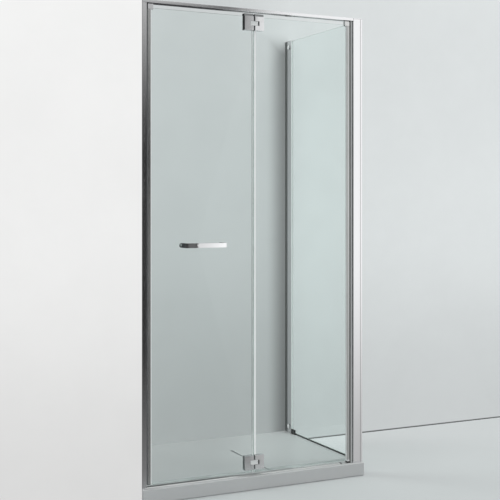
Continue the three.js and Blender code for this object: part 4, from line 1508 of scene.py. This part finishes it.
        right_end = wires.span(degrees, *room.right_end)
        window = wires.math("MULTIPLY", past(room.window), right_end)
        pane = wires.math("MULTIPLY", past(room.pane), wires.span(z, *room.sill))
        curtain = wires.math("MULTIPLY", past(room.curtain_far), past(room.curtain_near))
        bay = wires.math("MULTIPLY", past(room.bay_far), past(room.bay_near))
        corner = wires.math("MAXIMUM", bay, past(room.corner))
        above = wires.math("MULTIPLY_ADD", wires.span(z, *room.upper), corner, room.base)
        dusk = wires.chain("ADD", above, wires.span(z, *room.lower), curtain)
        dim_side = wires.math("MULTIPLY", wires.span(degrees, *room.left_end), right_end)
        dusk_grey, pane_grey = (
            wires.fill(wires.node("ShaderNodeCombineColor"), Red=tone, Green=tone, Blue=tone)
            for tone in (dusk, pane)
        )
        dim = wires.mix(dim_side, self.far_colour, dusk_grey.outputs["Color"])
        return wires.mix(window, dim, pane_grey.outputs["Color"])

    def light_world(self) -> None:
        """Even light for matt surfaces; for metal and glass the room with its window."""
        world = bpy.data.worlds.new("room")
        bpy.context.scene.world = world
        wires = cleared(world)
        path = wires.node("ShaderNodeLightPath").outputs
        through = path["Is Transmission Ray"]
        unmirrored = wires.math("LESS_THAN", path["Glossy Depth"], 0.5)
        straight = wires.math("MULTIPLY", through, unmirrored)
        plain = wires.math("MAXIMUM", path["Is Camera Ray"], straight)
        seen = wires.mix(plain, self.mirrored_room(wires), self.far_colour)
        matt = wires.node("ShaderNodeBackground")
        wires.fill(matt, Color=self.ambient_colour, Strength=self.ambient)
        bright = wires.fill(wires.node("ShaderNodeBackground"), Color=seen)
        either = wires.chain("MAXIMUM", plain, path["Is Glossy Ray"], through)
        mixed = wires.blend(either, matt.outputs["Background"], bright.outputs["Background"])
        wires.show(mixed, "ShaderNodeOutputWorld")


def main() -> None:
    """Builds the set and every sub-assembly, in order."""
    logging.basicConfig(level=logging.INFO, format="%(name)s %(message)s")
    Studio().build()
    shop = Workshop.build()
    screws = ScrewPattern(screw_tree(shop.looks[Look.STEEL_UPRIGHT]))
    Tray(shop).build()
    shop.dress("threshold_strip", Look.PROFILE_LOW, Body.FRAME, 0.4)
    shop.dress("threshold_end_plug", Look.BLACK, Body.FRAME, 0.5)
    LeftJamb(shop).build()
    shop.dress("top_rail", Look.PROFILE_ACROSS, Body.FRAME, 0.4)
    shop.dress("rail_end_plug", Look.BLACK, Body.FRAME, 0.4)
    Corner(shop).build()
    SidePanel(shop).build()
    DoorPanel(
        shop,
        screws,
        Body.PIVOT,
        "pivot",
        bracket="pivot_top_bracket",
        foot="pivot_bottom_plug",
        foot_look=Look.CHROME,
        edge_look=Look.PROFILE_SATIN,
        bracket_look=Look.FITTING_SATIN,
        # Painted light: the pivot bracket's left faces take the pale cap look.
        bracket_side_painted_light=Look.COVER_CAP,
        bead_width=2.6,
    ).build()
    DoorPanel(
        shop,
        screws,
        Body.LEADING,
        "leading",
        bracket="guide_bracket",
        foot="leading_bottom_cap",
        foot_look=Look.GREY_SEAL,
        edge_look=Look.PROFILE_DUSK,
        bracket_look=Look.CHROME,
        # Painted shade: the guide bracket's left faces take the dark chrome.
        bracket_side_painted_light=Look.HOOK,
        bead_width=4.2,
    ).build()
    fold_seal(shop)
    shop.dress("leading_magnet_seal", Look.GREY_SEAL, Body.LEADING, 0.6, 3)
    shop.dress_all(Look.COVER_CAP, Body.LINKS, 0.6, "upper_hinge_link", "lower_hinge_link")
    handle(shop)
    shop.dress("guide_shoe", Look.BLACK, Body.GUIDE, 0.6)
    log.info("%d pieces made", len(shop.made))


if __name__ == "__main__":
    main()
